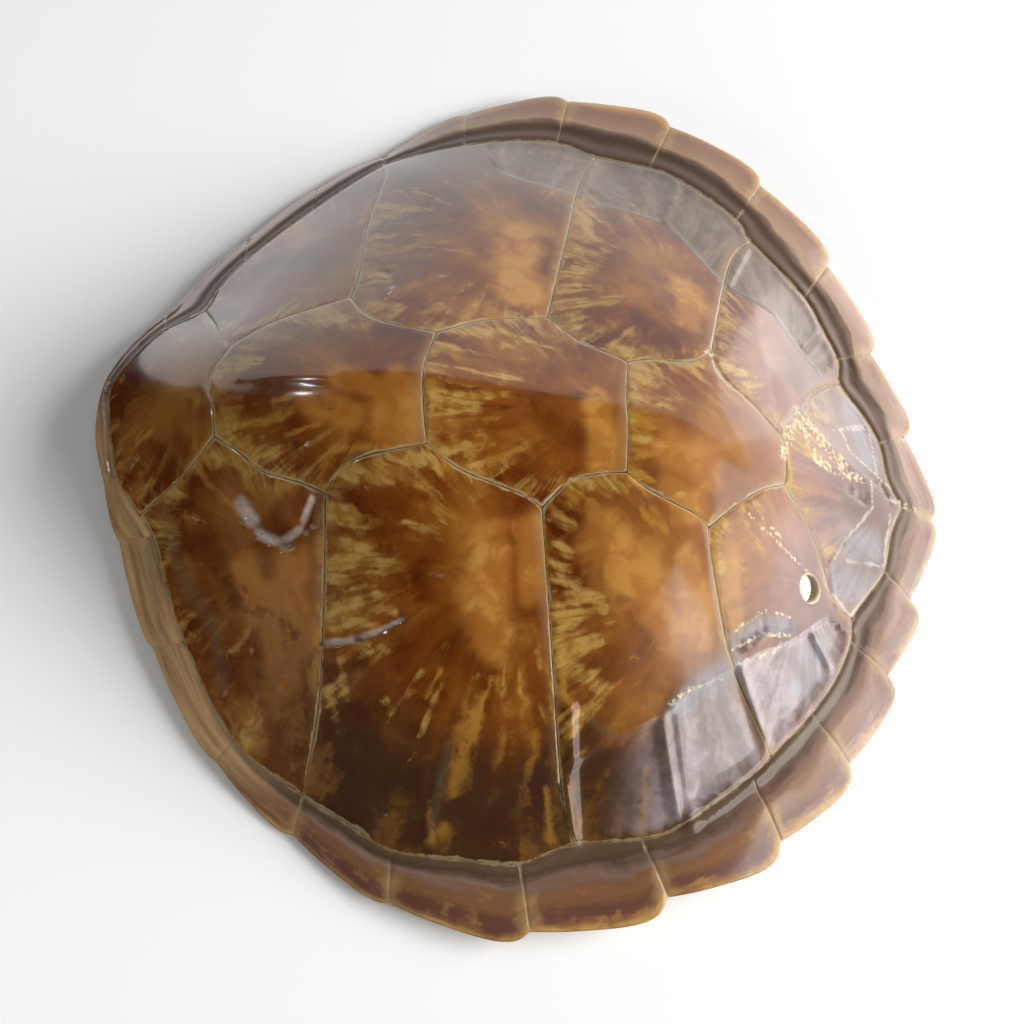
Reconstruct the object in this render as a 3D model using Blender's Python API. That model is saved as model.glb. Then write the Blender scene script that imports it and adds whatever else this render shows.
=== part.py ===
"""Sea turtle shell (carapace), one closed solid, in metres, +Z up.

The head end is at -X and the tail at +X. The near side is at -Y. The rim rests on z = 0.
Every table below is in millimetres, on a plan whose keel runs along y = 0.
"""
import math

import bmesh
import bpy
import numpy as np
from mathutils import Vector
from mathutils.geometry import delaunay_2d_cdt

MM = 0.001
NAME = "carapace"
PLAN_TO_CENTRE = (0.0, -2.35)     # moves the middle of the shell's box onto the origin

# ---- sizes that drive the shell
POINT_STEP = 9.0                 # spacing of the surface points
INNER_STEP = 12.0                # the same for the plainer underside
FINE_STEP = 1.5                  # spacing at which lines are measured against each other
SEAM_DEPTH = 0.9                 # groove between two scutes
SEAM_HALF_WIDTH = 2.2
GUTTER_DEPTH = 1.4               # the seam between costal and marginal scutes is deeper
KEEL_SLOPE = 0.25                # fall of the roof to each side of the keel
KEEL_ROUND = 12.0
STIFFNESS = 300.0                # how stiffly the dome bends between its measured heights
RIM_THICK = 3.2
RIM_BEVEL = 1.6                  # the under edge of the rim is drawn in by this
RIM_TAPER = (2.0, 18.0)          # distance from the rim over which the wall thickens
RIM_SAG = 0.03                   # bow of each marginal's edge, as a share of its length
WALL_THICK = 4.6
RING_THICK = 8.0                 # the marginal bones are thicker than the ribs
RING_REACH = 14.0
CREST_HEIGHT = 3.0               # marginals: outer crest over the gutter
VALLEY_DEPTH = 2.4               # marginals: inner slope beside the gutter
COSTAL_BULGE = 6.0               # how far the widest costal scutes arch over a straight line
COSTAL_WIDTH = 140.0
VALLEY_AT = 0.16                 # where the valley lies on the way from gutter to rim
BAND_ROWS = (0.5, VALLEY_AT, 0.8, 0.33, 0.65)    # rows of points on that way, weightiest first
ROW_GAP = 2.5
PANEL_SINK = 1.9                 # thin horn between the rib ends, behind the edge of the bone
CREASE_WIDTH = 2.0
RIB_HEIGHT = 1.2
RIB_WIDTH = 5.0
RIB_BEND = 1.4
INNER_RIB = 2.6                  # ribs standing out of the underside
INNER_RIB_WIDTH = 6.0
SPINE = ((-150, 0), (140, 0))    # row of vertebrae along the underside
SPINE_HEIGHT = 7.0
SPINE_WIDTH = 9.0
SPINE_FADE = 30.0
VERTEBRA_SWELL = 0.22
VERTEBRA_PITCH = 33.0
HOLE_AT = (124.5, -53.0)         # drilled hole near the tail
HOLE_RADIUS = 6.0
HOLE_SIDES = 24
DRILL_LENGTH = 40.0
SHARP_ANGLE = math.radians(40)
GROUND_SIZE = (600.0, 600.0, 20.0)   # the rim is worn flat where it would sink into this
KEEL_HEIGHTS = [(-150, 0, 64.0), (-100, 0, 92.5), (-60, 0, 99.0), (25, 0, 89.0)]

# ---- corners where three scutes meet: (x, y near, y far, height)
V1_C1 = ((-143, -21), (-142, 21), 66.0)
V2_C1_C2 = ((-95, -44), (-94, 44), 77.0)
V2_V3 = ((-57, -25), (-57, 24), 93.5)
V3_C2_C3 = ((-8, -43), (-10, 43), 81.5)
V3_V4 = ((26, -25), (25, 25), 84.7)
V4_C3_C4 = ((65, -41), (66, 41), 72.0)
V4_V5 = ((105, -12), (104, 11), 56.0)
ROOF_CORNERS = (V1_C1, V2_C1_C2, V2_V3, V3_C2_C3, V3_V4, V4_C3_C4, V4_V5)
NEAR, FAR = 0, 1

# ---- the gutter, from the head round to the tail: (x, y, height)
GUTTER = {
    NEAR: [(-197, -5, 21), (-191, -27, 21), (-177, -45, 22), (-170, -54, 22), (-162, -73, 20),
           (-151, -98, 16), (-125, -137, 12), (-93, -158, 13), (-72, -169, 14), (-54, -178, 15),
           (-23, -180, 18), (0, -180, 19), (22, -171, 21), (51, -167, 24), (67, -161, 26),
           (98, -138, 29), (107, -129, 29), (128, -108, 25), (142, -90, 21), (151, -72, 18),
           (152, -61, 17), (160, -50, 16), (171, -35, 15), (176, -15, 14), (183, 0, 13)],
    FAR: [(-197, -5, 21), (-200, 18, 21), (-181, 46, 22), (-164, 57, 22), (-159, 73, 21),
          (-149, 89, 19), (-121, 124, 15), (-89, 156, 15), (-70, 164, 17), (-49, 171, 19),
          (-29, 177, 19), (-1, 180, 19), (20, 173, 21), (48, 169, 24), (63, 163, 26),
          (93, 141, 29), (100, 128, 30), (130, 103, 25), (140, 88, 22), (150, 74, 18),
          (150, 60, 18), (162, 48, 15), (172, 32, 14), (175, 12, 14), (183, 0, 13)],
}
V1_AT, C1_C2_AT, C2_C3_AT, C3_C4_AT, V5_AT = 2, 7, 12, 16, 20    # places in GUTTER
FAR_V1_AT = 3
MARGINAL_AT = {NEAR: (1, 3, 5, 6, 7, 9, 11, 13, 15, 17, 19, 22, 24),
               FAR: (1, 2, 5, 6, 7, 9, 11, 13, 15, 17, 19, 22, 24)}

# ---- the rim where two marginals meet: (x, y, height), and how far the lobe before it stands out
RIM = {
    NEAR: [(-197, -29, 8.0), (-187, -53, 7.5), (-165, -100, 7.0), (-132, -146, 4.8),
           (-96, -174, 2.5), (-53, -199, 6.5), (7, -207, 11.8), (65, -190, 16.8),
           (115, -164, 18.5), (149, -128, 16.0), (172, -85, 11.8), (187, -46, 7.6), (203, -2, 2.4)],
    FAR: [(-205, 22, 8.0), (-183, 60, 7.5), (-152, 106, 7.0), (-121, 143, 4.8),
          (-90, 167, 2.5), (-49, 199, 6.5), (5, 213, 11.8), (61, 202, 16.8),
          (110, 171, 18.5), (147, 129, 16.0), (171, 83, 11.8), (189, 40, 7.6), (203, -2, 2.4)],
}
NUCHAL_EDGE = [(-204, -10, 8.4), (-206, 4, 8.4)]
LOBE = {NEAR: (1.0, 1.5, 1.5, 2.0, 2.0, 5.0, 6.5, 6.5, 6.0, 7.0, 7.5, 5.0),
        FAR: (1.0, 1.5, 1.5, 2.0, 2.5, 5.0, 6.5, 6.5, 7.0, 6.0, 7.0, 5.0)}
LOBE_SHAPE = ((0.0, 0.0), (0.22, 0.3), (0.45, 0.6), (0.66, 0.9), (0.82, 1.0), (0.93, 0.75), (1.0, 0.0))

# ---- seams between the big scutes; a corner name stands for its own point
CROSS_SEAMS = [
    (V1_C1, [(-146, -5), (-149, 5)]), (V2_V3, [(-60, -10), (-61, 6)]),
    (V3_V4, [(25, -5), (24, 7)]), (V4_V5, [(106, -4), (105, 5)])]
SIDE_SEAMS = {
    NEAR: [(V1_C1, [(-157, -34)], V1_AT),
           (V1_C1, [(-132, -28), (-121, -36), (-107, -40)], V2_C1_C2),
           (V2_C1_C2, [(-90, -36), (-81, -31), (-69, -28)], V2_V3),
           (V2_V3, [(-43, -33), (-17, -39)], V3_C2_C3),
           (V3_C2_C3, [(-4, -38), (3, -31), (15, -27)], V3_V4),
           (V3_V4, [(35, -30), (48, -34), (59, -37)], V4_C3_C4),
           (V4_C3_C4, [(71, -35), (80, -27), (92, -18)], V4_V5),
           (V4_V5, [(121, -26), (131, -39), (140, -55)], V5_AT),
           (V2_C1_C2, [(-92, -80), (-90, -117), (-91, -137)], C1_C2_AT),
           (V3_C2_C3, [(-6, -55), (3, -102), (14, -151)], C2_C3_AT),
           (V4_C3_C4, [(66, -48), (76, -78), (84, -95)], C3_C4_AT)],
    FAR: [(V1_C1, [(-147, 25), (-154, 40)], FAR_V1_AT),
          (V1_C1, [(-127, 31), (-104, 40)], V2_C1_C2),
          (V2_C1_C2, [(-88, 34), (-79, 28), (-65, 25)], V2_V3),
          (V2_V3, [(-50, 28), (-37, 35)], V3_C2_C3),
          (V3_C2_C3, [(-3, 37), (6, 31), (17, 28)], V3_V4),
          (V3_V4, [(36, 29), (54, 32)], V4_C3_C4),
          (V4_C3_C4, [(70, 29), (86, 22)], V4_V5),
          (V4_V5, [(117, 26), (125, 40), (136, 51)], V5_AT),
          (V2_C1_C2, [(-92, 62), (-92, 97), (-87, 147)], C1_C2_AT),
          (V3_C2_C3, [(-6, 65), (0, 97), (9, 144)], C2_C3_AT),
          (V4_C3_C4, [(70, 57), (80, 93), (89, 115)], C3_C4_AT)],
}

# ---- the eight ribs of a side: where each leaves the spine, and its place in GUTTER
RIBS = ((-118, 5), (-92, 7), (-55, 10), (-18, 12), (26, 14), (52, 16), (84, 18), (108, 20))
PANEL_RIBS = {NEAR: range(3, 8), FAR: range(2, 8)}    # the rear ribs show through the horn

# ---- edge of the bone behind which the horn sinks in between the ribs
CREASE = {
    NEAR: [(12, -146), (28, -130), (52, -118), (65, -106), (82, -96), (98, -85), (111, -80),
           (122, -73), (137, -62)],
    FAR: [(-36, 158), (-32, 144), (-16, 136), (14, 128), (39, 123), (52, 119), (64, 105),
          (77, 90), (97, 85), (109, 81), (120, 71), (136, 60)],
}


def smooth_line(knots, step):
    """Points along a Catmull-Rom curve that passes through every knot."""
    k = np.array(knots, float)
    if len(k) == 2:
        n = max(1, round(float(np.linalg.norm(k[1] - k[0])) / step))
        return [tuple(k[0] + (k[1] - k[0]) * i / n) for i in range(n + 1)]
    ends = np.vstack([2 * k[0] - k[1], k, 2 * k[-1] - k[-2]])
    line = []
    for i in range(len(k) - 1):
        a, b, c, d = ends[i:i + 4]
        n = max(1, round(float(np.linalg.norm(c - b)) / step))
        for t in np.arange(n) / n:
            line.append(tuple(0.5 * (2 * b + (c - a) * t + (2 * a - 5 * b + 4 * c - d) * t * t
                                     + (3 * b - a - 3 * c + d) * t ** 3)))
    return line + [tuple(k[-1])]


def gutter_line(side, step):
    return smooth_line([p[:2] for p in GUTTER[side]], step)


def rim_line(side):
    """The scalloped edge of one side, head to tail, as (x, y, height)."""
    line = []
    seams = RIM[side]
    for k in range(len(seams) - 1):
        a, b = np.array(seams[k], float), np.array(seams[k + 1], float)
        along = (b - a)[:2] / np.linalg.norm((b - a)[:2])
        out = np.array((along[1], -along[0])) * (1 if side == NEAR else -1)
        if out @ (a + b)[:2] < 0:
            out = -out
        sag = RIM_SAG * np.linalg.norm((b - a)[:2])
        for share, stand in LOBE_SHAPE[:-1]:
            p = a + (b - a) * share
            p[:2] += out * (LOBE[side][k] * stand + 4 * sag * share * (1 - share))
            line.append(tuple(p))
    return line


def outline():
    """The whole rim, once round, starting at the nuchal."""
    near = rim_line(NEAR)
    far = rim_line(FAR)
    nuchal = smooth_line([RIM[FAR][0], *reversed(NUCHAL_EDGE), RIM[NEAR][0]], POINT_STEP)[1:-1]
    return near + [tuple(map(float, RIM[NEAR][-1]))] + far[::-1] + nuchal


def roof_seams(side, step):
    """The seams between vertebral and costal scutes, in two lists: lengthwise and between costals."""
    along, across = [], []
    for start, middle, end in SIDE_SEAMS[side]:
        last = GUTTER[side][end][:2] if isinstance(end, int) else end[side]
        line = smooth_line([start[side], *middle, last], step)
        (across if end in (C1_C2_AT, C2_C3_AT, C3_C4_AT) else along).append(line)
    return along, across


def seam_lines(step):
    """Every thin seam, and the two gutters, as lists of plan points."""
    thin = [smooth_line([where[NEAR], *middle, where[FAR]], step) for where, middle in CROSS_SEAMS]
    for side in (NEAR, FAR):
        along, across = roof_seams(side, step)
        thin += along + across
        for k, place in enumerate(MARGINAL_AT[side]):
            if k < len(MARGINAL_AT[side]) - 1 or side == NEAR:
                thin.append(smooth_line([GUTTER[side][place][:2], RIM[side][k][:2]], step))
    return thin, [gutter_line(side, step) for side in (NEAR, FAR)]


def resample(line, count):
    """A polyline drawn again with evenly spaced points."""
    k = np.array(line, float)[:, :2]
    run = np.concatenate([[0], np.cumsum(np.linalg.norm(np.diff(k, axis=0), axis=1))])
    at = np.linspace(0, run[-1], count)
    return np.stack([np.interp(at, run, k[:, 0]), np.interp(at, run, k[:, 1])], axis=1)


def between(line, first, last):
    """The stretch of a polyline from one of its points to another."""
    k = np.array(line)[:, :2]
    i, j = (int(np.argmin(np.linalg.norm(k - np.array(p[:2]), axis=1))) for p in (first, last))
    return line[i:j + 1]


def band_rows(share, step):
    """A line round the marginals of each side, at some share of the way from gutter to rim."""
    rows = []
    for side in (NEAR, FAR):
        gutter = gutter_line(side, 2.0)
        rim = [RIM[side][0]] + rim_line(side)[1:] + [RIM[side][-1]]
        row = []
        for k in range(len(RIM[side]) - 1):
            a, b = (GUTTER[side][MARGINAL_AT[side][i]] for i in (k, k + 1))
            count = max(3, round(math.dist(RIM[side][k], RIM[side][k + 1]) / step) + 1)
            inner = resample(between(gutter, a, b), count)
            outer = resample(between(rim, RIM[side][k], RIM[side][k + 1]), count)
            row += [tuple(p) for p in (inner + (outer - inner) * share)[bool(k):]]
        rows.append(row)
    gutter = gutter_line(FAR, 2.0)
    gutter = between(gutter, GUTTER[FAR][0], GUTTER[FAR][1])[::-1] + between(
        gutter_line(NEAR, 2.0), GUTTER[NEAR][0], GUTTER[NEAR][1])[1:]
    rim = smooth_line([p[:2] for p in (RIM[FAR][0], *reversed(NUCHAL_EDGE), RIM[NEAR][0])], step)
    inner, outer = resample(gutter, len(rim)), np.array(rim)
    return rows + [[tuple(p) for p in inner + (outer - inner) * share]]


def rib_line(side, rib, step):
    """A rib leaves the spine square and bends back toward the tail."""
    start, place = RIBS[rib]
    x1, y1 = GUTTER[side][place][:2]
    n = round(abs(y1) / step)
    return [(start + (x1 - start) * t ** RIB_BEND, y1 * t) for t in np.linspace(0.05, 1, n)]


def panel_loop(side):
    """The sunken zone: from the bone's edge out to the gutter."""
    edge = gutter_line(side, 5.0)
    start = min(range(len(edge)), key=lambda i: math.dist(edge[i], CREASE[side][0]))
    end = min(range(len(edge)), key=lambda i: math.dist(edge[i], GUTTER[side][V5_AT - 1][:2]))
    return edge[start:end + 1] + smooth_line(CREASE[side], 5.0)[::-1]


def thin_plate(spots):
    """Smooth surface through the height of every spot: returns a function of x and y."""
    spots = np.array(spots, float)
    plan = spots[:, :2]
    lifted = spots[:, 2] + roof(spots[:, 1])

    def bend(distance):
        safe = np.maximum(distance, 1e-9)
        return distance ** 2 * np.log(safe)

    n = len(plan)
    stiff = bend(np.linalg.norm(plan[:, None] - plan[None], axis=2)) + STIFFNESS * np.eye(n)
    base = np.hstack([np.ones((n, 1)), plan])
    system = np.vstack([np.hstack([stiff, base]), np.hstack([base.T, np.zeros((3, 3))])])
    weights = np.linalg.solve(system, np.concatenate([lifted, np.zeros(3)]))

    def height(x, y):
        d = np.hypot(np.subtract.outer(x, plan[:, 0]), np.subtract.outer(y, plan[:, 1]))
        return bend(d) @ weights[:n] + weights[n] + weights[n + 1] * x + weights[n + 2] * y - roof(y)
    return height


def roof(y):
    """Fall from a softly rounded keel."""
    return KEEL_SLOPE * (np.sqrt(np.square(y) + KEEL_ROUND ** 2) - KEEL_ROUND)


def height_spots():
    spots = []
    for near, far, z in ROOF_CORNERS:
        spots += [(*near, z), (*far, z)]
    spots += KEEL_HEIGHTS
    for side in (NEAR, FAR):
        spots += GUTTER[side][:-1]
        spots += RIM[side][:-1]
    return spots + [GUTTER[NEAR][-1], RIM[NEAR][-1], *NUCHAL_EDGE]


def distance_to(lines, x, y):
    """Distance of every point from the nearest of some polylines."""
    best = np.full(len(x), 1e9)
    for line in lines:
        k = np.array(line, float)[:, :2]
        for a, b in zip(k[:-1], k[1:]):
            ab = b - a
            t = np.clip(((x - a[0]) * ab[0] + (y - a[1]) * ab[1]) / max(ab @ ab, 1e-9), 0, 1)
            best = np.minimum(best, np.hypot(x - a[0] - t * ab[0], y - a[1] - t * ab[1]))
    return best


def inside(loop, x, y):
    """Which points lie inside a closed loop."""
    k = np.array(loop, float)[:, :2]
    hit = np.zeros(len(x), bool)
    for a, b in zip(k, np.roll(k, -1, axis=0)):
        crosses = (a[1] > y) != (b[1] > y)
        with np.errstate(divide="ignore", invalid="ignore"):
            at = a[0] + (y - a[1]) * (b[0] - a[0]) / (b[1] - a[1])
        hit ^= crosses & (x < at)
    return hit


def bell(d, width):
    return np.exp(-np.square(d / width))


def ramp(v, low, high):
    t = np.clip((v - low) / (high - low), 0, 1)
    return t * t * (3 - 2 * t)


class Shell:
    """Heights of the outer and the inner surface at any plan point."""

    def __init__(self):
        self.rim = outline()
        self.edge = [self.rim + self.rim[:1]]
        self.thin, self.gutters = seam_lines(4.0)
        self.gutter_loop = self.gutters[NEAR] + self.gutters[FAR][::-1]
        self.lengthwise = [roof_seams(side, 4.0)[0] for side in (NEAR, FAR)]
        self.middle = self.vertebral_loop()
        self.base = thin_plate(height_spots())
        self.ribs = [rib_line(s, r, 6.0) for s in (NEAR, FAR) for r in range(len(RIBS))]
        self.panels = [panel_loop(s) for s in (NEAR, FAR)]
        self.panel_ribs = [line for s in (NEAR, FAR) for line in self.rib_ends(s, 6.0)]
        self.creases = [smooth_line(CREASE[s], 5.0) for s in (NEAR, FAR)]

    def vertebral_loop(self):
        """Round the five vertebral scutes, closed along the gutter at head and tail."""
        near, far = ([p for line in (side[0][::-1], *side[1:]) for p in line] for side in self.lengthwise)
        tail = [p[:2] for p in GUTTER[NEAR][V5_AT:] + GUTTER[FAR][:V5_AT - 1:-1]]
        head = [p[:2] for p in GUTTER[FAR][FAR_V1_AT::-1] + GUTTER[NEAR][:V1_AT + 1]]
        return near + tail + far[::-1] + head

    def rib_ends(self, side, step):
        """The stretches of the rear ribs that cross the sunken horn."""
        ends = []
        for rib in PANEL_RIBS[side]:
            line = np.array(rib_line(side, rib, step))
            crossing = line[inside(self.panels[side], line[:, 0], line[:, 1])]
            if len(crossing) > 1:
                ends.append([tuple(p) for p in crossing])
        return ends

    def arch(self, x, y, to_gutter):
        """The costal scutes bulge between the vertebral row and the gutter."""
        to_roof = distance_to(self.lengthwise[NEAR] + self.lengthwise[FAR], x, y)
        width = to_roof + to_gutter + 1e-6
        bulge = COSTAL_BULGE * np.minimum(width / COSTAL_WIDTH, 1.2) ** 2 * np.sin(np.pi * to_roof / width)
        return np.where(inside(self.gutter_loop, x, y) & ~inside(self.middle, x, y), bulge, 0)

    def form(self, x, y):
        """The shell without its seams: dome, arched costals, sunken panels, ribs and flared marginals."""
        to_gutter = distance_to(self.gutters, x, y)
        share = to_gutter / (to_gutter + distance_to(self.edge, x, y) + 1e-6)
        crest = CREST_HEIGHT * np.sin(np.pi * share) ** 1.5
        valley = VALLEY_DEPTH * bell(share - VALLEY_AT, 0.12)
        z = self.base(x, y) + self.arch(x, y, to_gutter)
        z += np.where(inside(self.gutter_loop, x, y), 0, crest - valley)
        sunk = inside(self.panels[NEAR], x, y) | inside(self.panels[FAR], x, y)
        rib = bell(distance_to(self.panel_ribs, x, y), RIB_WIDTH / 2)
        fade = np.clip(distance_to(self.creases, x, y) / CREASE_WIDTH, 0, 1) * ramp(to_gutter, 0.0, 9.0)
        return z + np.where(sunk, fade * (RIB_HEIGHT * rib - PANEL_SINK * (1 - rib)), 0)

    def outer(self, x, y):
        to_gutter = distance_to(self.gutters, x, y)
        groove = SEAM_DEPTH * np.clip(1 - distance_to(self.thin, x, y) / SEAM_HALF_WIDTH, 0, 1)
        deep = GUTTER_DEPTH * np.clip(1 - to_gutter / SEAM_HALF_WIDTH, 0, 1)
        return self.form(x, y) - np.maximum(groove, deep)

    def inner(self, x, y):
        to_gutter = distance_to(self.gutters, x, y)
        ring = np.where(inside(self.gutter_loop, x, y), bell(to_gutter, RING_REACH), 1.0)
        wall = WALL_THICK + (RING_THICK - WALL_THICK) * ring
        wall = RIM_THICK + (wall - RIM_THICK) * ramp(distance_to(self.edge, x, y), *RIM_TAPER)
        slope = np.hypot(*self.slopes(x, y))
        wall = wall * np.sqrt(1 + slope ** 2)
        rib = bell(distance_to(self.ribs, x, y), INNER_RIB_WIDTH) * ramp(to_gutter, 0.0, 12.0)
        (head, _), (tail, _) = SPINE
        along = ramp(x, head - SPINE_FADE, head) * (1 - ramp(x, tail, tail + SPINE_FADE))
        beads = 1 + VERTEBRA_SWELL * np.cos(2 * np.pi * x / VERTEBRA_PITCH)
        spine = SPINE_HEIGHT * beads * along * bell(y, SPINE_WIDTH)
        return self.form(x, y) - wall - np.maximum(INNER_RIB * rib, spine)

    def slopes(self, x, y):
        """Rise of the dome along x and along y, held to what a wall can follow."""
        across = (self.base(x + 1.0, y) - self.base(x - 1.0, y)) / 2
        up = (self.base(x, y + 1.0) - self.base(x, y - 1.0)) / 2
        return np.clip(across, -1.5, 1.5), np.clip(up, -1.5, 1.5)


def scatter(loop, lines, step, keep_off):
    """Hexagonal spread of points inside a loop that stays clear of some lines."""
    k = np.array(loop, float)[:, :2]
    low, high = k.min(axis=0), k.max(axis=0)
    rows = np.arange(low[1], high[1], step * math.sqrt(3) / 2)
    points = [(x + (step / 2 if i % 2 else 0), y)
              for i, y in enumerate(rows) for x in np.arange(low[0], high[0], step)]
    p = np.array(points)
    free = inside(loop, p[:, 0], p[:, 1])
    p = p[free]
    p = p[distance_to(lines, p[:, 0], p[:, 1]) > keep_off]
    return [tuple(q) for q in p]


def triangulate(loop, lines, points):
    """Delaunay mesh of the inside of a loop, with every line kept as edges."""
    verts, edges = [], []
    for line, closed in [(loop, True)] + [(ln, False) for ln in lines]:
        first = len(verts)
        verts += [Vector((q[0], q[1])) for q in line]
        edges += [(first + i, first + i + 1) for i in range(len(line) - 1)]
        if closed:
            edges.append((len(verts) - 1, first))
    verts += [Vector(q) for q in points]
    plan, _, faces, origins, _, _ = delaunay_2d_cdt(verts, edges, [], 1, 0.05)
    place = {}
    for i, sources in enumerate(origins):
        for s in sources:
            if s < len(loop):
                place[s] = i
    return np.array([tuple(v) for v in plan]), [tuple(f) for f in faces], [place[i] for i in range(len(loop))]


def clear_runs(lines, clear_of, gap):
    """The stretches of some fine lines that stay clear of others, drawn again at the usual spacing."""
    found = []
    for line in lines:
        k = np.array(line, float)[:, :2]
        free = distance_to(clear_of, k[:, 0], k[:, 1]) > gap
        cuts = np.flatnonzero(np.diff(free.astype(int))) + 1
        for run, keep in zip(np.split(k, cuts), [part[0] for part in np.split(free, cuts)]):
            length = np.linalg.norm(np.diff(run, axis=0), axis=1).sum()
            if keep and length > gap:
                found.append([tuple(p) for p in resample(run, max(2, round(length / POINT_STEP) + 1))])
    return found


def shoulders(lines, offset, clear_of, gap):
    """Lines along both sides of every groove or ridge."""
    beside = []
    for line in lines:
        k = np.array(line, float)[:, :2]
        along = np.gradient(k, axis=0)
        normal = np.stack([-along[:, 1], along[:, 0]], axis=1)
        normal *= offset / np.maximum(np.linalg.norm(normal, axis=1), 1e-9)[:, None]
        beside += [k + normal, k - normal]
    return clear_runs(beside, clear_of, gap)


def thin_out(points, gap):
    """Leave out points that crowd an earlier one."""
    kept, cells = [], {}
    for p in points:
        c = (int(p[0] // gap), int(p[1] // gap))
        around = [q for i in (-1, 0, 1) for j in (-1, 0, 1) for q in cells.get((c[0] + i, c[1] + j), [])]
        if all(math.dist(p, q) > gap for q in around):
            kept.append(p)
            cells.setdefault(c, []).append(p)
    return kept


def outer_sheet(shell):
    """The scutes: plan points, triangles, and the places of the rim points."""
    rim = [p[:2] for p in shell.rim]
    thin, gutters = seam_lines(POINT_STEP)
    seams = thin + gutters
    fine_thin, fine_gutters = seam_lines(FINE_STEP)
    edges = seams + shoulders(fine_thin + fine_gutters, SEAM_HALF_WIDTH,
                              seams + shell.edge, SEAM_HALF_WIDTH * 0.9)
    for share in BAND_ROWS:
        edges += clear_runs(band_rows(share, FINE_STEP), edges + shell.edge, ROW_GAP)
    steps = [line for side in (NEAR, FAR) for line in shell.rib_ends(side, FINE_STEP)]
    steps += [smooth_line(CREASE[side], FINE_STEP) for side in (NEAR, FAR)]
    edges += clear_runs(steps, edges, CREASE_WIDTH * 0.6)
    edges += shoulders(steps, CREASE_WIDTH, edges, CREASE_WIDTH * 0.9)
    spread = scatter(shell.gutter_loop, edges, POINT_STEP, POINT_STEP * 0.5)
    return triangulate(rim, edges, spread)


def inner_sheet(shell):
    """The bone underneath: plan points, triangles, and the places of the rim points."""
    edge = np.array([p[:2] for p in shell.rim])
    inward = -edge / np.linalg.norm(edge, axis=1)[:, None]
    rim = [tuple(p) for p in edge + inward * RIM_BEVEL]
    ribs = [rib_line(side, rib, INNER_STEP) for side in (NEAR, FAR) for rib in range(len(RIBS))]
    spine = smooth_line(SPINE, INNER_STEP)
    flanks = [(x, side * SPINE_WIDTH) for x, _ in spine for side in (-1, 1)]
    raised = thin_out([p for rib in ribs for p in rib] + flanks, 4.0)
    spread = scatter(rim, ribs + [spine, rim + rim[:1]], INNER_STEP, 4.5)
    return triangulate(rim, [spine], spread + raised)


def build_mesh(shell):
    """Outer and inner sheets, joined round the rim into one closed skin."""
    top, top_faces, top_rim = outer_sheet(shell)
    low, low_faces, low_rim = inner_sheet(shell)
    top_z = shell.outer(top[:, 0], top[:, 1])
    low_z = shell.inner(low[:, 0], low[:, 1])
    rim_z = np.array([p[2] for p in shell.rim])
    top_z[top_rim] = rim_z
    low_z[low_rim] = rim_z - RIM_THICK
    verts = [(x, y, z) for (x, y), z in zip(top, top_z)]
    verts += [(x, y, z) for (x, y), z in zip(low, low_z)]
    faces = list(top_faces)
    faces += [tuple(len(top) + i for i in reversed(face)) for face in low_faces]
    for i, start in enumerate(top_rim):
        j = (i + 1) % len(top_rim)
        under, under_next = len(top) + low_rim[i], len(top) + low_rim[j]
        faces += [(top_rim[j], start, under), (top_rim[j], under, under_next)]
    return verts, faces


def horn_material():
    material = bpy.data.materials.new("varnished_horn")
    material.use_nodes = True
    surface = material.node_tree.nodes["Principled BSDF"]
    surface.inputs["Base Color"].default_value = (0.30, 0.13, 0.035, 1.0)
    surface.inputs["Roughness"].default_value = 0.28
    surface.inputs["Metallic"].default_value = 0.0
    return material


def new_collection(name):
    made = bpy.data.collections.new(name)
    bpy.context.scene.collection.children.link(made)
    return made


def make_carapace(collection):
    shell = Shell()
    verts, faces = build_mesh(shell)
    mesh = bpy.data.meshes.new(NAME)
    dx, dy = PLAN_TO_CENTRE
    mesh.from_pydata([((x + dx) * MM, (y + dy) * MM, z * MM) for x, y, z in verts], [], faces)
    bm = bmesh.new()
    bm.from_mesh(mesh)
    bmesh.ops.recalc_face_normals(bm, faces=bm.faces)
    bm.to_mesh(mesh)
    bm.free()
    mesh.shade_smooth()
    mesh.set_sharp_from_angle(angle=SHARP_ANGLE)
    body = bpy.data.objects.new(NAME, mesh)
    body.data.materials.append(horn_material())
    collection.objects.link(body)
    return body, shell


def cutter(name, collection):
    """Turn the active object into a hidden cutter."""
    tool = bpy.context.object
    tool.name = name
    for owner in list(tool.users_collection):
        owner.objects.unlink(tool)
    collection.objects.link(tool)
    tool.hide_render = True
    tool.display_type = "WIRE"
    return tool


def cut(body, tool):
    take = body.modifiers.new(tool.name, "BOOLEAN")
    take.operation = "DIFFERENCE"
    take.solver = "EXACT"
    take.object = tool


def make_hole_cutter(shell, collection):
    """A drill held square to the shell."""
    x, y = (np.array([v]) for v in HOLE_AT)
    rise_x, rise_y = (float(v[0]) for v in shell.slopes(x, y))
    normal = Vector((-rise_x, -rise_y, 1.0)).normalized()
    where = Vector((*(v + d for v, d in zip(HOLE_AT, PLAN_TO_CENTRE)), float(shell.base(x, y)[0]))) * MM
    bpy.ops.mesh.primitive_cylinder_add(vertices=HOLE_SIDES, radius=HOLE_RADIUS * MM,
                                        depth=DRILL_LENGTH * MM, location=where,
                                        rotation=normal.to_track_quat("Z", "Y").to_euler())
    return cutter("drill", collection)


def make_ground_cutter(collection):
    """Everything below the ground: leaves the worn flats the shell rests on."""
    bpy.ops.mesh.primitive_cube_add(size=1.0, location=(0, 0, -GROUND_SIZE[2] / 2 * MM))
    tool = cutter("ground", collection)
    tool.scale = [v * MM for v in GROUND_SIZE]
    return tool


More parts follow.
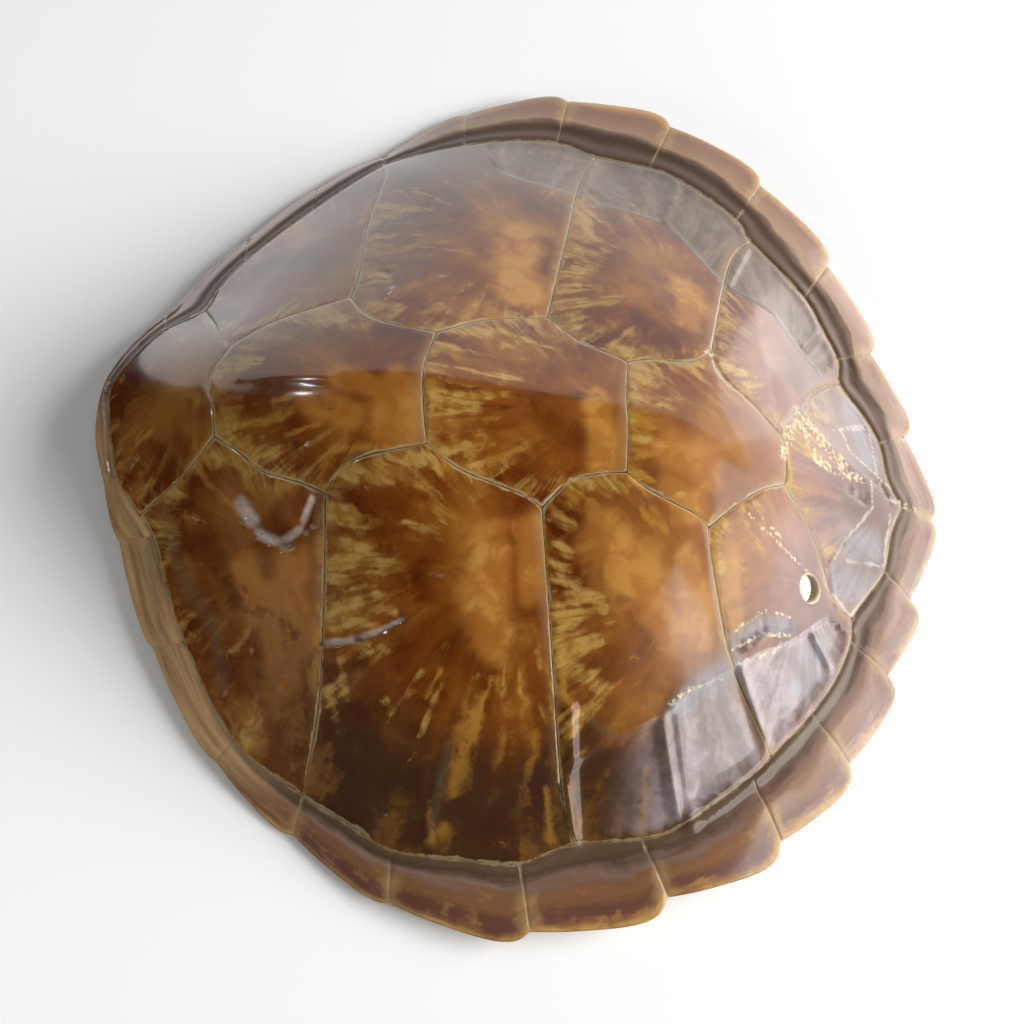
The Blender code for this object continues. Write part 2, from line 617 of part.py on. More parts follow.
def main():
    for old in list(bpy.data.objects):
        bpy.data.objects.remove(old, do_unlink=True)
    parts = new_collection("sea_turtle_shell")
    tools = new_collection("cutters")
    body, shell = make_carapace(parts)
    cut(body, make_hole_cutter(shell, tools))
    cut(body, make_ground_cutter(tools))


main()
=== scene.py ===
# %% [markdown]
# # A sea turtle's shell
# The upper shell of a young green turtle is a low dome of bone under a skin of horn. The horn is
# laid in big plates, the scutes, which meet in fine seams. The whole model is one closed piece,
# because bone and horn grew together, and it is drawn in the frame that the plain solid gives.

# %% The frame that everything is placed in
import math

import bpy
import numpy as np
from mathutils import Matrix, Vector
from mathutils.geometry import delaunay_2d_cdt


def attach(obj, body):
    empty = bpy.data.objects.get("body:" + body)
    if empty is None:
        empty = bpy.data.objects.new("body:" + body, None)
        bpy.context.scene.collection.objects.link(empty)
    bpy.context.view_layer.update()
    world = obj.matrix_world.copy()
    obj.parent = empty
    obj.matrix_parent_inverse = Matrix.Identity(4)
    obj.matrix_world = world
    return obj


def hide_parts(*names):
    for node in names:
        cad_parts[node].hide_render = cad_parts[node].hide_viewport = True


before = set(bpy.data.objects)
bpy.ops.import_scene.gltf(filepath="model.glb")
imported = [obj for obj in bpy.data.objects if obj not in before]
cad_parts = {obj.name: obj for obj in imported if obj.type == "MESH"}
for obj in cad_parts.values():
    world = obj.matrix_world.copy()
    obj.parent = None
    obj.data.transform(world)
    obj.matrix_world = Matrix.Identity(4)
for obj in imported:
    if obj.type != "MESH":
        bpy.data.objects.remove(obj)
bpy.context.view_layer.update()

# %% [markdown]
# ## The plan of the scutes
# A turtle's pattern can't be spread by a rule: every seam has its own bend. So the corners where
# three scutes meet are written down once, in millimetres, with the keel along y = 0, the head
# toward -x and the near side toward -y. The plain solid was built from the same places, and
# that is why the fine shell fits it everywhere.

# %% Corners, gutter, rim and seams
MM = 0.001
COARSE = 4.0                      # step of the curves that distances are measured from
PLAN_TO_CENTRE = (0.0, -2.35)     # the middle of the shell's box lies on the origin
SIDES = NEAR, FAR = 0, 1
KEEL_HEIGHTS = [(-150, 0, 64.0), (-100, 0, 92.5), (-60, 0, 99.0), (25, 0, 89.0)]

# corners where three scutes meet: (x, y near, y far, height)
V1_C1 = ((-143, -21), (-142, 21), 66.0)
V2_C1_C2 = ((-95, -44), (-94, 44), 77.0)
V2_V3 = ((-57, -25), (-57, 24), 93.5)
V3_C2_C3 = ((-8, -43), (-10, 43), 81.5)
V3_V4 = ((26, -25), (25, 25), 84.7)
V4_C3_C4 = ((65, -41), (66, 41), 72.0)
V4_V5 = ((105, -12), (104, 11), 56.0)
ROOF_CORNERS = (V1_C1, V2_C1_C2, V2_V3, V3_C2_C3, V3_V4, V4_C3_C4, V4_V5)

# the gutter, from the head round to the tail: (x, y, height)
GUTTER = {
    NEAR: [(-197, -5, 21), (-191, -27, 21), (-177, -45, 22), (-170, -54, 22), (-162, -73, 20),
           (-151, -98, 16), (-125, -137, 12), (-93, -158, 13), (-72, -169, 14), (-54, -178, 15),
           (-23, -180, 18), (0, -180, 19), (22, -171, 21), (51, -167, 24), (67, -161, 26),
           (98, -138, 29), (107, -129, 29), (128, -108, 25), (142, -90, 21), (151, -72, 18),
           (152, -61, 17), (160, -50, 16), (171, -35, 15), (176, -15, 14), (183, 0, 13)],
    FAR: [(-197, -5, 21), (-200, 18, 21), (-181, 46, 22), (-164, 57, 22), (-159, 73, 21),
          (-149, 89, 19), (-121, 124, 15), (-89, 156, 15), (-70, 164, 17), (-49, 171, 19),
          (-29, 177, 19), (-1, 180, 19), (20, 173, 21), (48, 169, 24), (63, 163, 26),
          (93, 141, 29), (100, 128, 30), (130, 103, 25), (140, 88, 22), (150, 74, 18),
          (150, 60, 18), (162, 48, 15), (172, 32, 14), (175, 12, 14), (183, 0, 13)],
}
V1_AT, C1_C2_AT, C2_C3_AT, C3_C4_AT, V5_AT = 2, 7, 12, 16, 20    # places in GUTTER
FAR_V1_AT = 3
MARGINAL_AT = {NEAR: (1, 3, 5, 6, 7, 9, 11, 13, 15, 17, 19, 22, 24),
               FAR: (1, 2, 5, 6, 7, 9, 11, 13, 15, 17, 19, 22, 24)}

# the rim where two marginals meet: (x, y, height), and how far the lobe before it stands out
RIM = {
    NEAR: [(-197, -29, 8.0), (-187, -53, 7.5), (-165, -100, 7.0), (-132, -146, 4.8),
           (-96, -174, 2.5), (-53, -199, 6.5), (7, -207, 11.8), (65, -190, 16.8),
           (115, -164, 18.5), (149, -128, 16.0), (172, -85, 11.8), (187, -46, 7.6), (203, -2, 2.4)],
    FAR: [(-205, 22, 8.0), (-183, 60, 7.5), (-152, 106, 7.0), (-121, 143, 4.8),
          (-90, 167, 2.5), (-49, 199, 6.5), (5, 213, 11.8), (61, 202, 16.8),
          (110, 171, 18.5), (147, 129, 16.0), (171, 83, 11.8), (189, 40, 7.6), (203, -2, 2.4)],
}
NUCHAL_EDGE = [(-204, -10, 8.4), (-206, 4, 8.4)]
LOBE = {NEAR: (1.0, 1.5, 1.5, 2.0, 2.0, 5.0, 6.5, 6.5, 6.0, 7.0, 7.5, 5.0),
        FAR: (1.0, 1.5, 1.5, 2.0, 2.5, 5.0, 6.5, 6.5, 7.0, 6.0, 7.0, 5.0)}
LOBE_SHAPE = ((0.0, 0.0), (0.22, 0.3), (0.45, 0.6), (0.66, 0.9), (0.82, 1.0), (0.93, 0.75), (1.0, 0.0))

# seams between the big scutes; a corner name stands for its own point
CROSS_SEAMS = [
    (V1_C1, [(-146, -5), (-149, 5)]), (V2_V3, [(-60, -10), (-61, 6)]),
    (V3_V4, [(25, -5), (24, 7)]), (V4_V5, [(106, -4), (105, 5)])]
SIDE_SEAMS = {
    NEAR: [(V1_C1, [(-157, -34)], V1_AT),
           (V1_C1, [(-132, -28), (-121, -36), (-107, -40)], V2_C1_C2),
           (V2_C1_C2, [(-90, -36), (-81, -31), (-69, -28)], V2_V3),
           (V2_V3, [(-43, -33), (-17, -39)], V3_C2_C3),
           (V3_C2_C3, [(-4, -38), (3, -31), (15, -27)], V3_V4),
           (V3_V4, [(35, -30), (48, -34), (59, -37)], V4_C3_C4),
           (V4_C3_C4, [(71, -35), (80, -27), (92, -18)], V4_V5),
           (V4_V5, [(121, -26), (131, -39), (140, -55)], V5_AT),
           (V2_C1_C2, [(-92, -80), (-90, -117), (-91, -137)], C1_C2_AT),
           (V3_C2_C3, [(-6, -55), (3, -102), (14, -151)], C2_C3_AT),
           (V4_C3_C4, [(66, -48), (76, -78), (84, -95)], C3_C4_AT)],
    FAR: [(V1_C1, [(-147, 25), (-154, 40)], FAR_V1_AT),
          (V1_C1, [(-127, 31), (-104, 40)], V2_C1_C2),
          (V2_C1_C2, [(-88, 34), (-79, 28), (-65, 25)], V2_V3),
          (V2_V3, [(-50, 28), (-37, 35)], V3_C2_C3),
          (V3_C2_C3, [(-3, 37), (6, 31), (17, 28)], V3_V4),
          (V3_V4, [(36, 29), (54, 32)], V4_C3_C4),
          (V4_C3_C4, [(70, 29), (86, 22)], V4_V5),
          (V4_V5, [(117, 26), (125, 40), (136, 51)], V5_AT),
          (V2_C1_C2, [(-92, 62), (-92, 97), (-87, 147)], C1_C2_AT),
          (V3_C2_C3, [(-6, 65), (0, 97), (9, 144)], C2_C3_AT),
          (V4_C3_C4, [(70, 57), (80, 93), (89, 115)], C3_C4_AT)],
}

# the eight ribs of a side: where each leaves the spine, and its place in GUTTER
RIBS = ((-118, 5), (-92, 7), (-55, 10), (-18, 12), (26, 14), (52, 16), (84, 18), (108, 20))
PANEL_RIBS = {NEAR: range(3, 8), FAR: range(2, 8)}    # the rear ribs show through the horn

# edge of the bone behind which the horn sinks in between the ribs
CREASE = {
    NEAR: [(12, -146), (28, -130), (52, -118), (65, -106), (82, -96), (98, -85), (111, -80),
           (122, -73), (137, -62)],
    FAR: [(-36, 158), (-32, 144), (-16, 136), (14, 128), (39, 123), (52, 119), (64, 105),
          (77, 90), (97, 85), (109, 81), (120, 71), (136, 60)],
}
RIM_SAG = 0.03                    # bow of each marginal's edge, as a share of its length
HOLE_AT = (124.5, -53.0)          # drilled hole near the tail
HOLE_RADIUS = 6.0
RIB_BEND = 1.4                    # how strongly a rib bends back toward the tail
RIB_ROOT = 0.05                   # share of a rib that is hidden in the spine
RIM_STEP, PANEL_STEP = 2.0, 5.0
print(len(RIM[NEAR]) - 1, "marginals a side,", sum(len(s) for s in SIDE_SEAMS.values()), "side seams")

# %% [markdown]
# ## From corners to curves
# A seam on a living shell is never straight. Each one is a smooth curve through its few
# written points, and each marginal scute bows out to its rear corner, which makes the
# saw-toothed rim. Curves are kept as lists of points, so that they can be mesh edges later.

# %% Curves through the written points
def smooth_line(knots, step):
    """Points along a Catmull-Rom curve that passes through every knot."""
    k = np.array(knots, float)
    ends = np.vstack([2 * k[0] - k[1], k, 2 * k[-1] - k[-2]])
    line = []
    for i in range(len(k) - 1):
        a, b, c, d = ends[i:i + 4]
        n = max(1, round(float(np.linalg.norm(c - b)) / step))
        for t in np.arange(n) / n:
            line.append(tuple(0.5 * (2 * b + (c - a) * t + (2 * a - 5 * b + 4 * c - d) * t * t
                                     + (3 * b - a - 3 * c + d) * t ** 3)))
    return line + [tuple(k[-1])]


def gutter_line(side, step):
    return smooth_line([p[:2] for p in GUTTER[side]], step)


def rim_line(side, step):
    """The scalloped edge of one side, head to tail, as (x, y, height)."""
    line = []
    for a, b, stands_out in zip(np.array(RIM[side], float), np.array(RIM[side][1:], float), LOBE[side]):
        length = np.linalg.norm((b - a)[:2])
        along = (b - a)[:2] / length
        out = np.array((along[1], -along[0]))
        out *= np.sign(out @ (a + b)[:2])
        sag = RIM_SAG * length
        lobe = []
        for share, stand in LOBE_SHAPE:
            p = a + (b - a) * share
            p[:2] += out * (stands_out * stand + 4 * sag * share * (1 - share))
            lobe.append(tuple(p))
        line += smooth_line(lobe, step)[:-1]
    return line


def outline(step):
    """The whole rim, once round against the clock, starting at the nuchal."""
    nuchal = smooth_line([RIM[FAR][0], *reversed(NUCHAL_EDGE), RIM[NEAR][0]], step)[1:-1]
    last = tuple(map(float, RIM[NEAR][-1]))
    return rim_line(NEAR, step) + [last] + rim_line(FAR, step)[::-1] + nuchal


def roof_seams(side, step):
    """The seams of one side of the roof, in two lists: round the vertebrals, between costals."""
    along, across = [], []
    for start, middle, end in SIDE_SEAMS[side]:
        last = GUTTER[side][end][:2] if isinstance(end, int) else end[side]
        line = smooth_line([start[side], *middle, last], step)
        (across if end in (C1_C2_AT, C2_C3_AT, C3_C4_AT) else along).append(line)
    return along, across


def seam_lines(step):
    """Every thin seam, and the two gutters, as lists of plan points."""
    thin = [smooth_line([where[NEAR], *middle, where[FAR]], step) for where, middle in CROSS_SEAMS]
    for side in SIDES:
        along, across = roof_seams(side, step)
        thin += along + across
        for k, place in enumerate(MARGINAL_AT[side]):
            if k < len(MARGINAL_AT[side]) - 1 or side == NEAR:
                thin.append(smooth_line([GUTTER[side][place][:2], RIM[side][k][:2]], step))
    return thin, [gutter_line(side, step) for side in SIDES]


def rib_line(side, rib, step):
    """A rib leaves the spine square and bends back toward the tail."""
    start, place = RIBS[rib]
    x1, y1 = GUTTER[side][place][:2]
    n = round(abs(y1) / step)
    return [(start + (x1 - start) * t ** RIB_BEND, y1 * t) for t in np.linspace(RIB_ROOT, 1, n)]


def panel_loop(side):
    """The sunken zone: from the bone's edge out to the gutter."""
    edge = gutter_line(side, PANEL_STEP)
    start = min(range(len(edge)), key=lambda i: math.dist(edge[i], CREASE[side][0]))
    end = min(range(len(edge)), key=lambda i: math.dist(edge[i], GUTTER[side][V5_AT - 1][:2]))
    return edge[start:end + 1] + smooth_line(CREASE[side], PANEL_STEP)[::-1]


rim = outline(RIM_STEP)
print("the rim has", len(rim), "points")

# %% [markdown]
# ## Distances make the relief
# Nearly everything on the shell depends on how far a point lies from a line: the groove from
# its seam, the rib from its crest, the flare of a marginal from the rim. So the next helpers
# measure distances for many points at once, and two soft shapes, a bell and a ramp, turn a
# distance into a height or a colour mask.

# %% Distance, inside, bell and ramp
def distance_to(lines, x, y):
    """Distance of every point from the nearest of some polylines."""
    best = np.full(len(x), 1e9)
    for line in lines:
        k = np.array(line, float)[:, :2]
        for a, b in zip(k[:-1], k[1:]):
            ab = b - a
            t = np.clip(((x - a[0]) * ab[0] + (y - a[1]) * ab[1]) / max(ab @ ab, 1e-9), 0, 1)
            best = np.minimum(best, np.hypot(x - a[0] - t * ab[0], y - a[1] - t * ab[1]))
    return best


def inside(loop, x, y):
    """Which points lie inside a closed loop."""
    k = np.array(loop, float)[:, :2]
    hit = np.zeros(len(x), bool)
    for a, b in zip(k, np.roll(k, -1, axis=0)):
        crosses = (a[1] > y) != (b[1] > y)
        with np.errstate(divide="ignore", invalid="ignore"):
            at = a[0] + (y - a[1]) * (b[0] - a[0]) / (b[1] - a[1])
        hit ^= crosses & (x < at)
    return hit


def bell(d, width):
    return np.exp(-np.square(d / width))


def ramp(v, low, high):
    t = np.clip((v - low) / (high - low), 0, 1)
    return t * t * (3 - 2 * t)


# %% [markdown]
# ## The dome
# A thin plate is the surface that a springy sheet takes when pins hold it at some heights. Here
# the pins are the scute corners, the gutter and the rim, whose heights were judged from the
# photograph. A fold along the keel is added first, and the wide costal scutes arch a little
# more than the plate would.

# %% Heights of the dome
KEEL_SLOPE = 0.25                 # fall of the roof to each side of the keel
KEEL_ROUND = 12.0
STIFFNESS = 300.0                 # how stiffly the dome bends between its measured heights
COSTAL_BULGE = 6.0                # how far the widest costal scutes arch over a straight line
COSTAL_WIDTH = 140.0
WIDEST = 1.2                      # how many times that width the arch still grows with


def roof(y):
    """Fall from a softly rounded keel."""
    return KEEL_SLOPE * (np.sqrt(np.square(y) + KEEL_ROUND ** 2) - KEEL_ROUND)


def thin_plate(spots):
    """Smooth surface through the height of every spot: returns a function of x and y."""
    spots = np.array(spots, float)
    plan = spots[:, :2]
    lifted = spots[:, 2] + roof(spots[:, 1])

    def bend(distance):
        return distance ** 2 * np.log(np.maximum(distance, 1e-9))

    n = len(plan)
    stiff = bend(np.linalg.norm(plan[:, None] - plan[None], axis=2)) + STIFFNESS * np.eye(n)
    base = np.hstack([np.ones((n, 1)), plan])
    system = np.vstack([np.hstack([stiff, base]), np.hstack([base.T, np.zeros((3, 3))])])
    weights = np.linalg.solve(system, np.concatenate([lifted, np.zeros(3)]))

    def height(x, y):
        d = np.hypot(np.subtract.outer(x, plan[:, 0]), np.subtract.outer(y, plan[:, 1]))
        return bend(d) @ weights[:n] + weights[n] + weights[n + 1] * x + weights[n + 2] * y - roof(y)
    return height


def height_spots():
    spots = []
    for near, far, z in ROOF_CORNERS:
        spots += [(*near, z), (*far, z)]
    spots += KEEL_HEIGHTS
    for side in SIDES:
        spots += GUTTER[side][:-1]
        spots += RIM[side][:-1]
    return spots + [GUTTER[NEAR][-1], RIM[NEAR][-1], *NUCHAL_EDGE]


lengthwise = [roof_seams(side, COARSE)[0] for side in SIDES]
thin_seams, gutters = seam_lines(COARSE)
gutter_loop = gutters[NEAR] + gutters[FAR][::-1]


def vertebral_loop():
    """Round the five vertebral scutes, closed along the gutter at head and tail."""
    near, far = ([p for line in (side[0][::-1], *side[1:]) for p in line] for side in lengthwise)
    tail = [p[:2] for p in GUTTER[NEAR][V5_AT:] + GUTTER[FAR][:V5_AT - 1:-1]]
    head = [p[:2] for p in GUTTER[FAR][FAR_V1_AT::-1] + GUTTER[NEAR][:V1_AT + 1]]
    return near + tail + far[::-1] + head


middle = vertebral_loop()
plate = thin_plate(height_spots())


def dome(x, y, to_gutter):
    """Height of the dome with its arched costal scutes."""
    to_roof = distance_to(lengthwise[NEAR] + lengthwise[FAR], x, y)
    width = to_roof + to_gutter + 1e-6
    arch = np.minimum(width / COSTAL_WIDTH, WIDEST) ** 2 * np.sin(np.pi * to_roof / width)
    on_costal = inside(gutter_loop, x, y) & ~inside(middle, x, y)
    return plate(x, y) + np.where(on_costal, COSTAL_BULGE * arch, 0)


print("the keel stands", round(float(plate(np.zeros(1), np.zeros(1))[0]), 1), "mm high at the middle")

# %% [markdown]
# ## Points for the outer skin
# The mesh needs small faces everywhere and edges exactly along every seam, or the grooves would
# come out jagged. A constrained Delaunay mesh does both. Each seam gets its own row of points,
# with two or three rows beside it for the flanks of the groove, and a hexagonal spread of
# points fills the rest.

# %% Rows of points along the lines, and a spread between them
STEP = 1.55                       # spacing of the points of the outer skin
SEAM_ROWS = (0.55, 1.2, 2.3)      # rows of points beside each seam
RIDGE_ROWS = (1.0, 2.4)           # the same beside creases and ribs
CELL, MARGIN = 0.35, 8            # fine grid on which taken ground is marked, and its border


def resample(line, step):
    """A polyline drawn again with evenly spaced points."""
    k = np.array(line, float)[:, :2]
    run = np.concatenate([[0], np.cumsum(np.linalg.norm(np.diff(k, axis=0), axis=1))])
    at = np.linspace(0, run[-1], max(2, round(run[-1] / step) + 1))
    return np.stack([np.interp(at, run, k[:, 0]), np.interp(at, run, k[:, 1])], axis=1)


def clear_runs(lines, clear_of, gap):
    """The stretches of some lines that stay clear of others."""
    drawn = [resample(line, STEP) for line in lines]
    every = np.vstack(drawn)
    free = distance_to(clear_of, every[:, 0], every[:, 1]) > gap
    found = []
    for k in drawn:
        open_here, free = free[:len(k)], free[len(k):]
        cuts = np.flatnonzero(np.diff(open_here.astype(int))) + 1
        runs = zip(np.split(k, cuts), np.split(open_here, cuts))
        found += [run for run, keep in runs if keep[0] and len(run) > 1]
    return found


def beside(lines, offset):
    """Lines along both sides of every line."""
    both = []
    for line in lines:
        k = np.array(line, float)[:, :2]
        along = np.gradient(k, axis=0)
        normal = np.stack([-along[:, 1], along[:, 0]], axis=1)
        normal *= offset / np.maximum(np.linalg.norm(normal, axis=1), 1e-9)[:, None]
        both += [k + normal, k - normal]
    return both


def spread(loop, lines, step, keep_off):
    """Hexagonal spread of points inside a loop, clear of the points of some lines."""
    k = np.array(loop, float)[:, :2]
    low, high = k.min(axis=0), k.max(axis=0)
    rows = np.arange(low[1], high[1], step * math.sqrt(3) / 2)
    columns = np.arange(low[0], high[0], step)
    p = np.array([(x + (i % 2) * step / 2, y) for i, y in enumerate(rows) for x in columns])
    p = p[inside(loop, p[:, 0], p[:, 1])]
    taken = np.zeros(((high - low) / CELL).astype(int) + 2 * MARGIN + 4, bool)
    reach = int(keep_off / CELL) + 1
    spots = ((np.vstack(lines) - low) / CELL).astype(int) + MARGIN
    for i in range(-reach, reach + 1):
        for j in range(-reach, reach + 1):
            if math.hypot(i, j) * CELL <= keep_off:
                at = np.clip(spots + (i, j), 0, np.array(taken.shape) - 1)
                taken[tuple(at.T)] = True
    at = ((p - low) / CELL).astype(int) + MARGIN
    return p[~taken[tuple(at.T)]]


def inset(loop, distance):
    """A closed loop, counter-clockwise, drawn in by some distance."""
    k = np.array(loop, float)[:, :2]
    along = np.roll(k, -1, axis=0) - np.roll(k, 1, axis=0)
    outward = np.stack([along[:, 1], -along[:, 0]], axis=1)
    outward /= np.linalg.norm(outward, axis=1)[:, None]
    return k - outward * distance


creases = [smooth_line(CREASE[side], COARSE) for side in SIDES]
panels = [panel_loop(side) for side in SIDES]


def rib_ends(side, step):
    """The stretches of the rear ribs that cross the sunken horn."""
    ends = []
    for rib in PANEL_RIBS[side]:
        line = np.array(rib_line(side, rib, step))
        crossing = line[inside(panels[side], line[:, 0], line[:, 1])]
        if len(crossing) > 1:
            ends.append(crossing)
    return ends


panel_ribs = [line for side in SIDES for line in rib_ends(side, COARSE)]
print(len(panel_ribs), "rib ends show through the horn")

# %% [markdown]
# ## One closed skin
# The outer skin, the rounded rim, the bone underneath and the wall of the drilled hole are
# meshed as sheets that share their edge points. Both sheets are flat plans to begin with, and
# every point remembers what it is, so that heights can be given later.

# %% Triangulate the two sheets
UNDER_STEP = 3.6                  # spacing of the points underneath
KEEP_OFF = 0.62                   # share of the spacing kept clear round the points of lines
ROW_ROOM = 0.93                   # share of a row's offset that it keeps from other seams
RIM_ROOM, RIDGE_ROOM = 0.7, 2.6   # how far seams stay from the rim, and ridges from seams
STEEPEST = 1.5                    # slope that a wall can follow
WALL = 5.0                        # depth of the drilled hole
RIM_PROFILE = ((0.9, 0.0), (0.32, 0.35), (0.0, 1.35), (0.28, 2.55), (1.0, 3.1), (1.6, 3.2))   # inset, drop
HOLE_PROFILE = (0.9, 0.25, 0.0, 0.0, 0.0, 0.3, 1.0)     # how much wider than the drill, top to bottom
HOLE_POINTS = 40


def triangulate(loops, lines, points):
    """Delaunay mesh inside the first loop and outside the others, with every line kept as edges."""
    verts, edges = [], []
    for line, closed in [(loop, True) for loop in loops] + [(ln, False) for ln in lines]:
        first = len(verts)
        verts += [Vector((q[0], q[1])) for q in line]
        edges += [(first + i, first + i + 1) for i in range(len(line) - 1)]
        if closed:
            edges.append((len(verts) - 1, first))
    verts += [Vector(q) for q in points]
    plan, _, faces, origins, _, _ = delaunay_2d_cdt(verts, edges, [], 0, 0.02)
    plan = np.array([tuple(v) for v in plan])
    faces = np.array([tuple(f) for f in faces])
    centre = plan[faces].mean(axis=1)
    keep = inside(loops[0], centre[:, 0], centre[:, 1])
    for hole in loops[1:]:
        keep &= ~inside(hole, centre[:, 0], centre[:, 1])
    place = {s: i for i, sources in enumerate(origins) for s in sources}
    rings, first = [], 0
    for loop in loops:
        rings.append(np.array([place[first + i] for i in range(len(loop))]))
        first += len(loop)
    return plan, faces[keep], rings


def slopes(x, y):
    """Rise of the dome along x and along y, held to what a wall can follow."""
    across = (plate(x + 1.0, y) - plate(x - 1.0, y)) / 2
    up = (plate(x, y + 1.0) - plate(x, y - 1.0)) / 2
    return np.clip(across, -STEEPEST, STEEPEST), np.clip(up, -STEEPEST, STEEPEST)


drill_at = tuple(np.array([v]) for v in HOLE_AT)
drill_tilt = np.array([-float(rise[0]) for rise in slopes(*drill_at)] + [1.0])
drill_tilt /= np.linalg.norm(drill_tilt)
drill_side = np.cross(drill_tilt, (0.0, 1.0, 0.0))
drill_side /= np.linalg.norm(drill_side)
drill_front = np.cross(drill_tilt, drill_side)


def drill_ring(depth, wider):
    """The plan of a ring round the drill, at some depth below the skin."""
    turn = np.arange(HOLE_POINTS) * 2 * np.pi / HOLE_POINTS
    ring = np.outer(np.cos(turn), drill_side) + np.outer(np.sin(turn), drill_front)
    return np.array(HOLE_AT) + (HOLE_RADIUS + wider) * ring[:, :2] - depth * drill_tilt[:2]


thin_fine, gutters_fine = seam_lines(STEP)
seams_fine = thin_fine + gutters_fine
rim_top = inset(rim, RIM_PROFILE[0][0])
edge_line = [tuple(p) for p in np.vstack([rim_top, rim_top[:1]])]
hole_top = drill_ring(0.0, HOLE_PROFILE[0])
hole_line = [np.vstack([hole_top, hole_top[:1]])]
rows = clear_runs(seams_fine, [edge_line], RIM_ROOM)
for offset in SEAM_ROWS:
    rows += clear_runs(beside(seams_fine, offset), thin_seams + gutters + [edge_line], offset * ROW_ROOM)
ridges = [line for side in SIDES for line in rib_ends(side, STEP)]
ridges += [smooth_line(CREASE[side], STEP) for side in SIDES]
rows += clear_runs(ridges, thin_seams + gutters + hole_line, RIDGE_ROOM)
for offset in RIDGE_ROWS:
    rows += clear_runs(beside(ridges, offset), thin_seams + gutters + creases + panel_ribs + hole_line,
                       min(offset * ROW_ROOM, SEAM_ROWS[-1]))
fill = spread(rim_top, rows + [rim_top, hole_top], STEP, STEP * KEEP_OFF)
outer_plan, outer_faces, (outer_rim, outer_hole) = triangulate([rim_top, hole_top], rows, fill)
print("outer skin:", len(outer_plan), "points and", len(outer_faces), "triangles")

under_rim = inset(rim, RIM_PROFILE[-1][0])
hole_low = drill_ring(WALL, HOLE_PROFILE[-1])
under_ribs = [resample(rib_line(s, r, COARSE), UNDER_STEP) for s in SIDES for r in range(len(RIBS))]
fill = spread(under_rim, under_ribs + [under_rim, hole_low], UNDER_STEP, UNDER_STEP * KEEP_OFF)
under_plan, under_faces, (low_rim, low_hole) = triangulate([under_rim, hole_low], under_ribs, fill)
print("underside:", len(under_plan), "points and", len(under_faces), "triangles")

# %% [markdown]
# The sheets get their heights now. The underside lies one wall below the outside, measured
# square to the slope, and the wall is thickest over the marginal bones. Between the sheets,
# rings of points follow the rim and the drilled hole.

# %% Heights, and the rings that join the sheets
RIM_THICK = 3.2
RIM_TAPER = (2.0, 18.0)           # distance from the rim over which the wall thickens
WALL_THICK = 4.6
RING_THICK = 8.0                  # the marginal bones are thicker than the ribs
RING_REACH = 14.0

edge_loop = [[tuple(p[:2]) for p in rim + rim[:1]]]


def base_heights(x, y):
    """Height of the dome, and the distances that its relief needs."""
    to_gutter = distance_to(gutters, x, y)
    to_edge = distance_to(edge_loop, x, y)
    return dome(x, y, to_gutter), to_gutter, to_edge


def wall(x, y, to_gutter, to_edge):
    """Thickness of bone and horn, measured straight down."""
    ring = np.where(inside(gutter_loop, x, y), bell(to_gutter, RING_REACH), 1.0)
    thick = WALL_THICK + (RING_THICK - WALL_THICK) * ring
    thick = RIM_THICK + (thick - RIM_THICK) * ramp(to_edge, *RIM_TAPER)
    return thick * np.sqrt(1 + np.hypot(*slopes(x, y)) ** 2)


outer_z, outer_gutter, outer_edge = base_heights(*outer_plan.T)
under_z, under_gutter, under_edge = base_heights(*under_plan.T)
under_z -= wall(*under_plan.T, under_gutter, under_edge)
under_z[low_rim] = outer_z[outer_rim] - RIM_PROFILE[-1][1]

points = [np.column_stack([outer_plan, outer_z]), np.column_stack([under_plan, under_z])]
measured = [np.column_stack([outer_gutter, outer_edge]), np.column_stack([under_gutter, under_edge])]
under_side = [np.zeros(len(outer_plan)), np.ones(len(under_plan))]
faces = [outer_faces, under_faces[:, ::-1] + len(outer_plan)]


def bridge(upper, lower):
    """Two triangles between each pair of neighbours on two rings."""
    after_upper, after_lower = np.roll(upper, -1), np.roll(lower, -1)
    return np.vstack([np.stack([after_upper, upper, lower], axis=1),
                      np.stack([after_upper, lower, after_lower], axis=1)])


def join(top_ring, low_ring, rings, sides, flip):
    """Add rings of points between two sheets; each ring is (plan, height)."""
    above, at_top = top_ring, np.vstack(measured)[top_ring]
    order = slice(None, None, -1 if flip else 1)
    for (plan, height), side in zip(rings, sides):
        ring = sum(map(len, points)) + np.arange(len(plan))
        points.append(np.column_stack([plan, height]))
        measured.append(at_top)
        under_side.append(np.full(len(plan), side))
        faces.append(bridge(above, ring)[:, order])
        above = ring
    faces.append(bridge(above, low_ring)[:, order])


rim_height = outer_z[outer_rim]
rim_rings = [(inset(rim, draw_in), rim_height - drop) for draw_in, drop in RIM_PROFILE[1:-1]]
join(outer_rim, len(outer_plan) + low_rim, rim_rings, (0, 0, 0, 0.6), False)

hole_upper = outer_z[outer_hole]
hole_lower = under_z[low_hole]
levels = np.linspace(0, 1, len(HOLE_PROFILE))
hole_rings = [(drill_ring(WALL * level, wider), hole_upper + (hole_lower - hole_upper) * level)
              for level, wider in zip(levels, HOLE_PROFILE)][1:-1]
join(outer_hole, len(outer_plan) + low_hole, hole_rings, (0.2, 0.5, 0.7, 0.8, 0.9), True)

points, measured = np.vstack(points), np.vstack(measured)
under_side, faces = np.concatenate(under_side), np.vstack(faces)
print("closed skin:", len(points), "points and", len(faces), "triangles")

# %% [markdown]
# ## What every point knows
# The relief and the colours are both made later from the same measurements, so they are kept
# on the mesh as attributes: how far a point is from the seams, the gutter, the rim, a crease
# or a rib, and how it lies on its own scute. The horn grows outward from one spot of each
# scute, and its streaks fan from there, so every face corner also keeps its way from it.

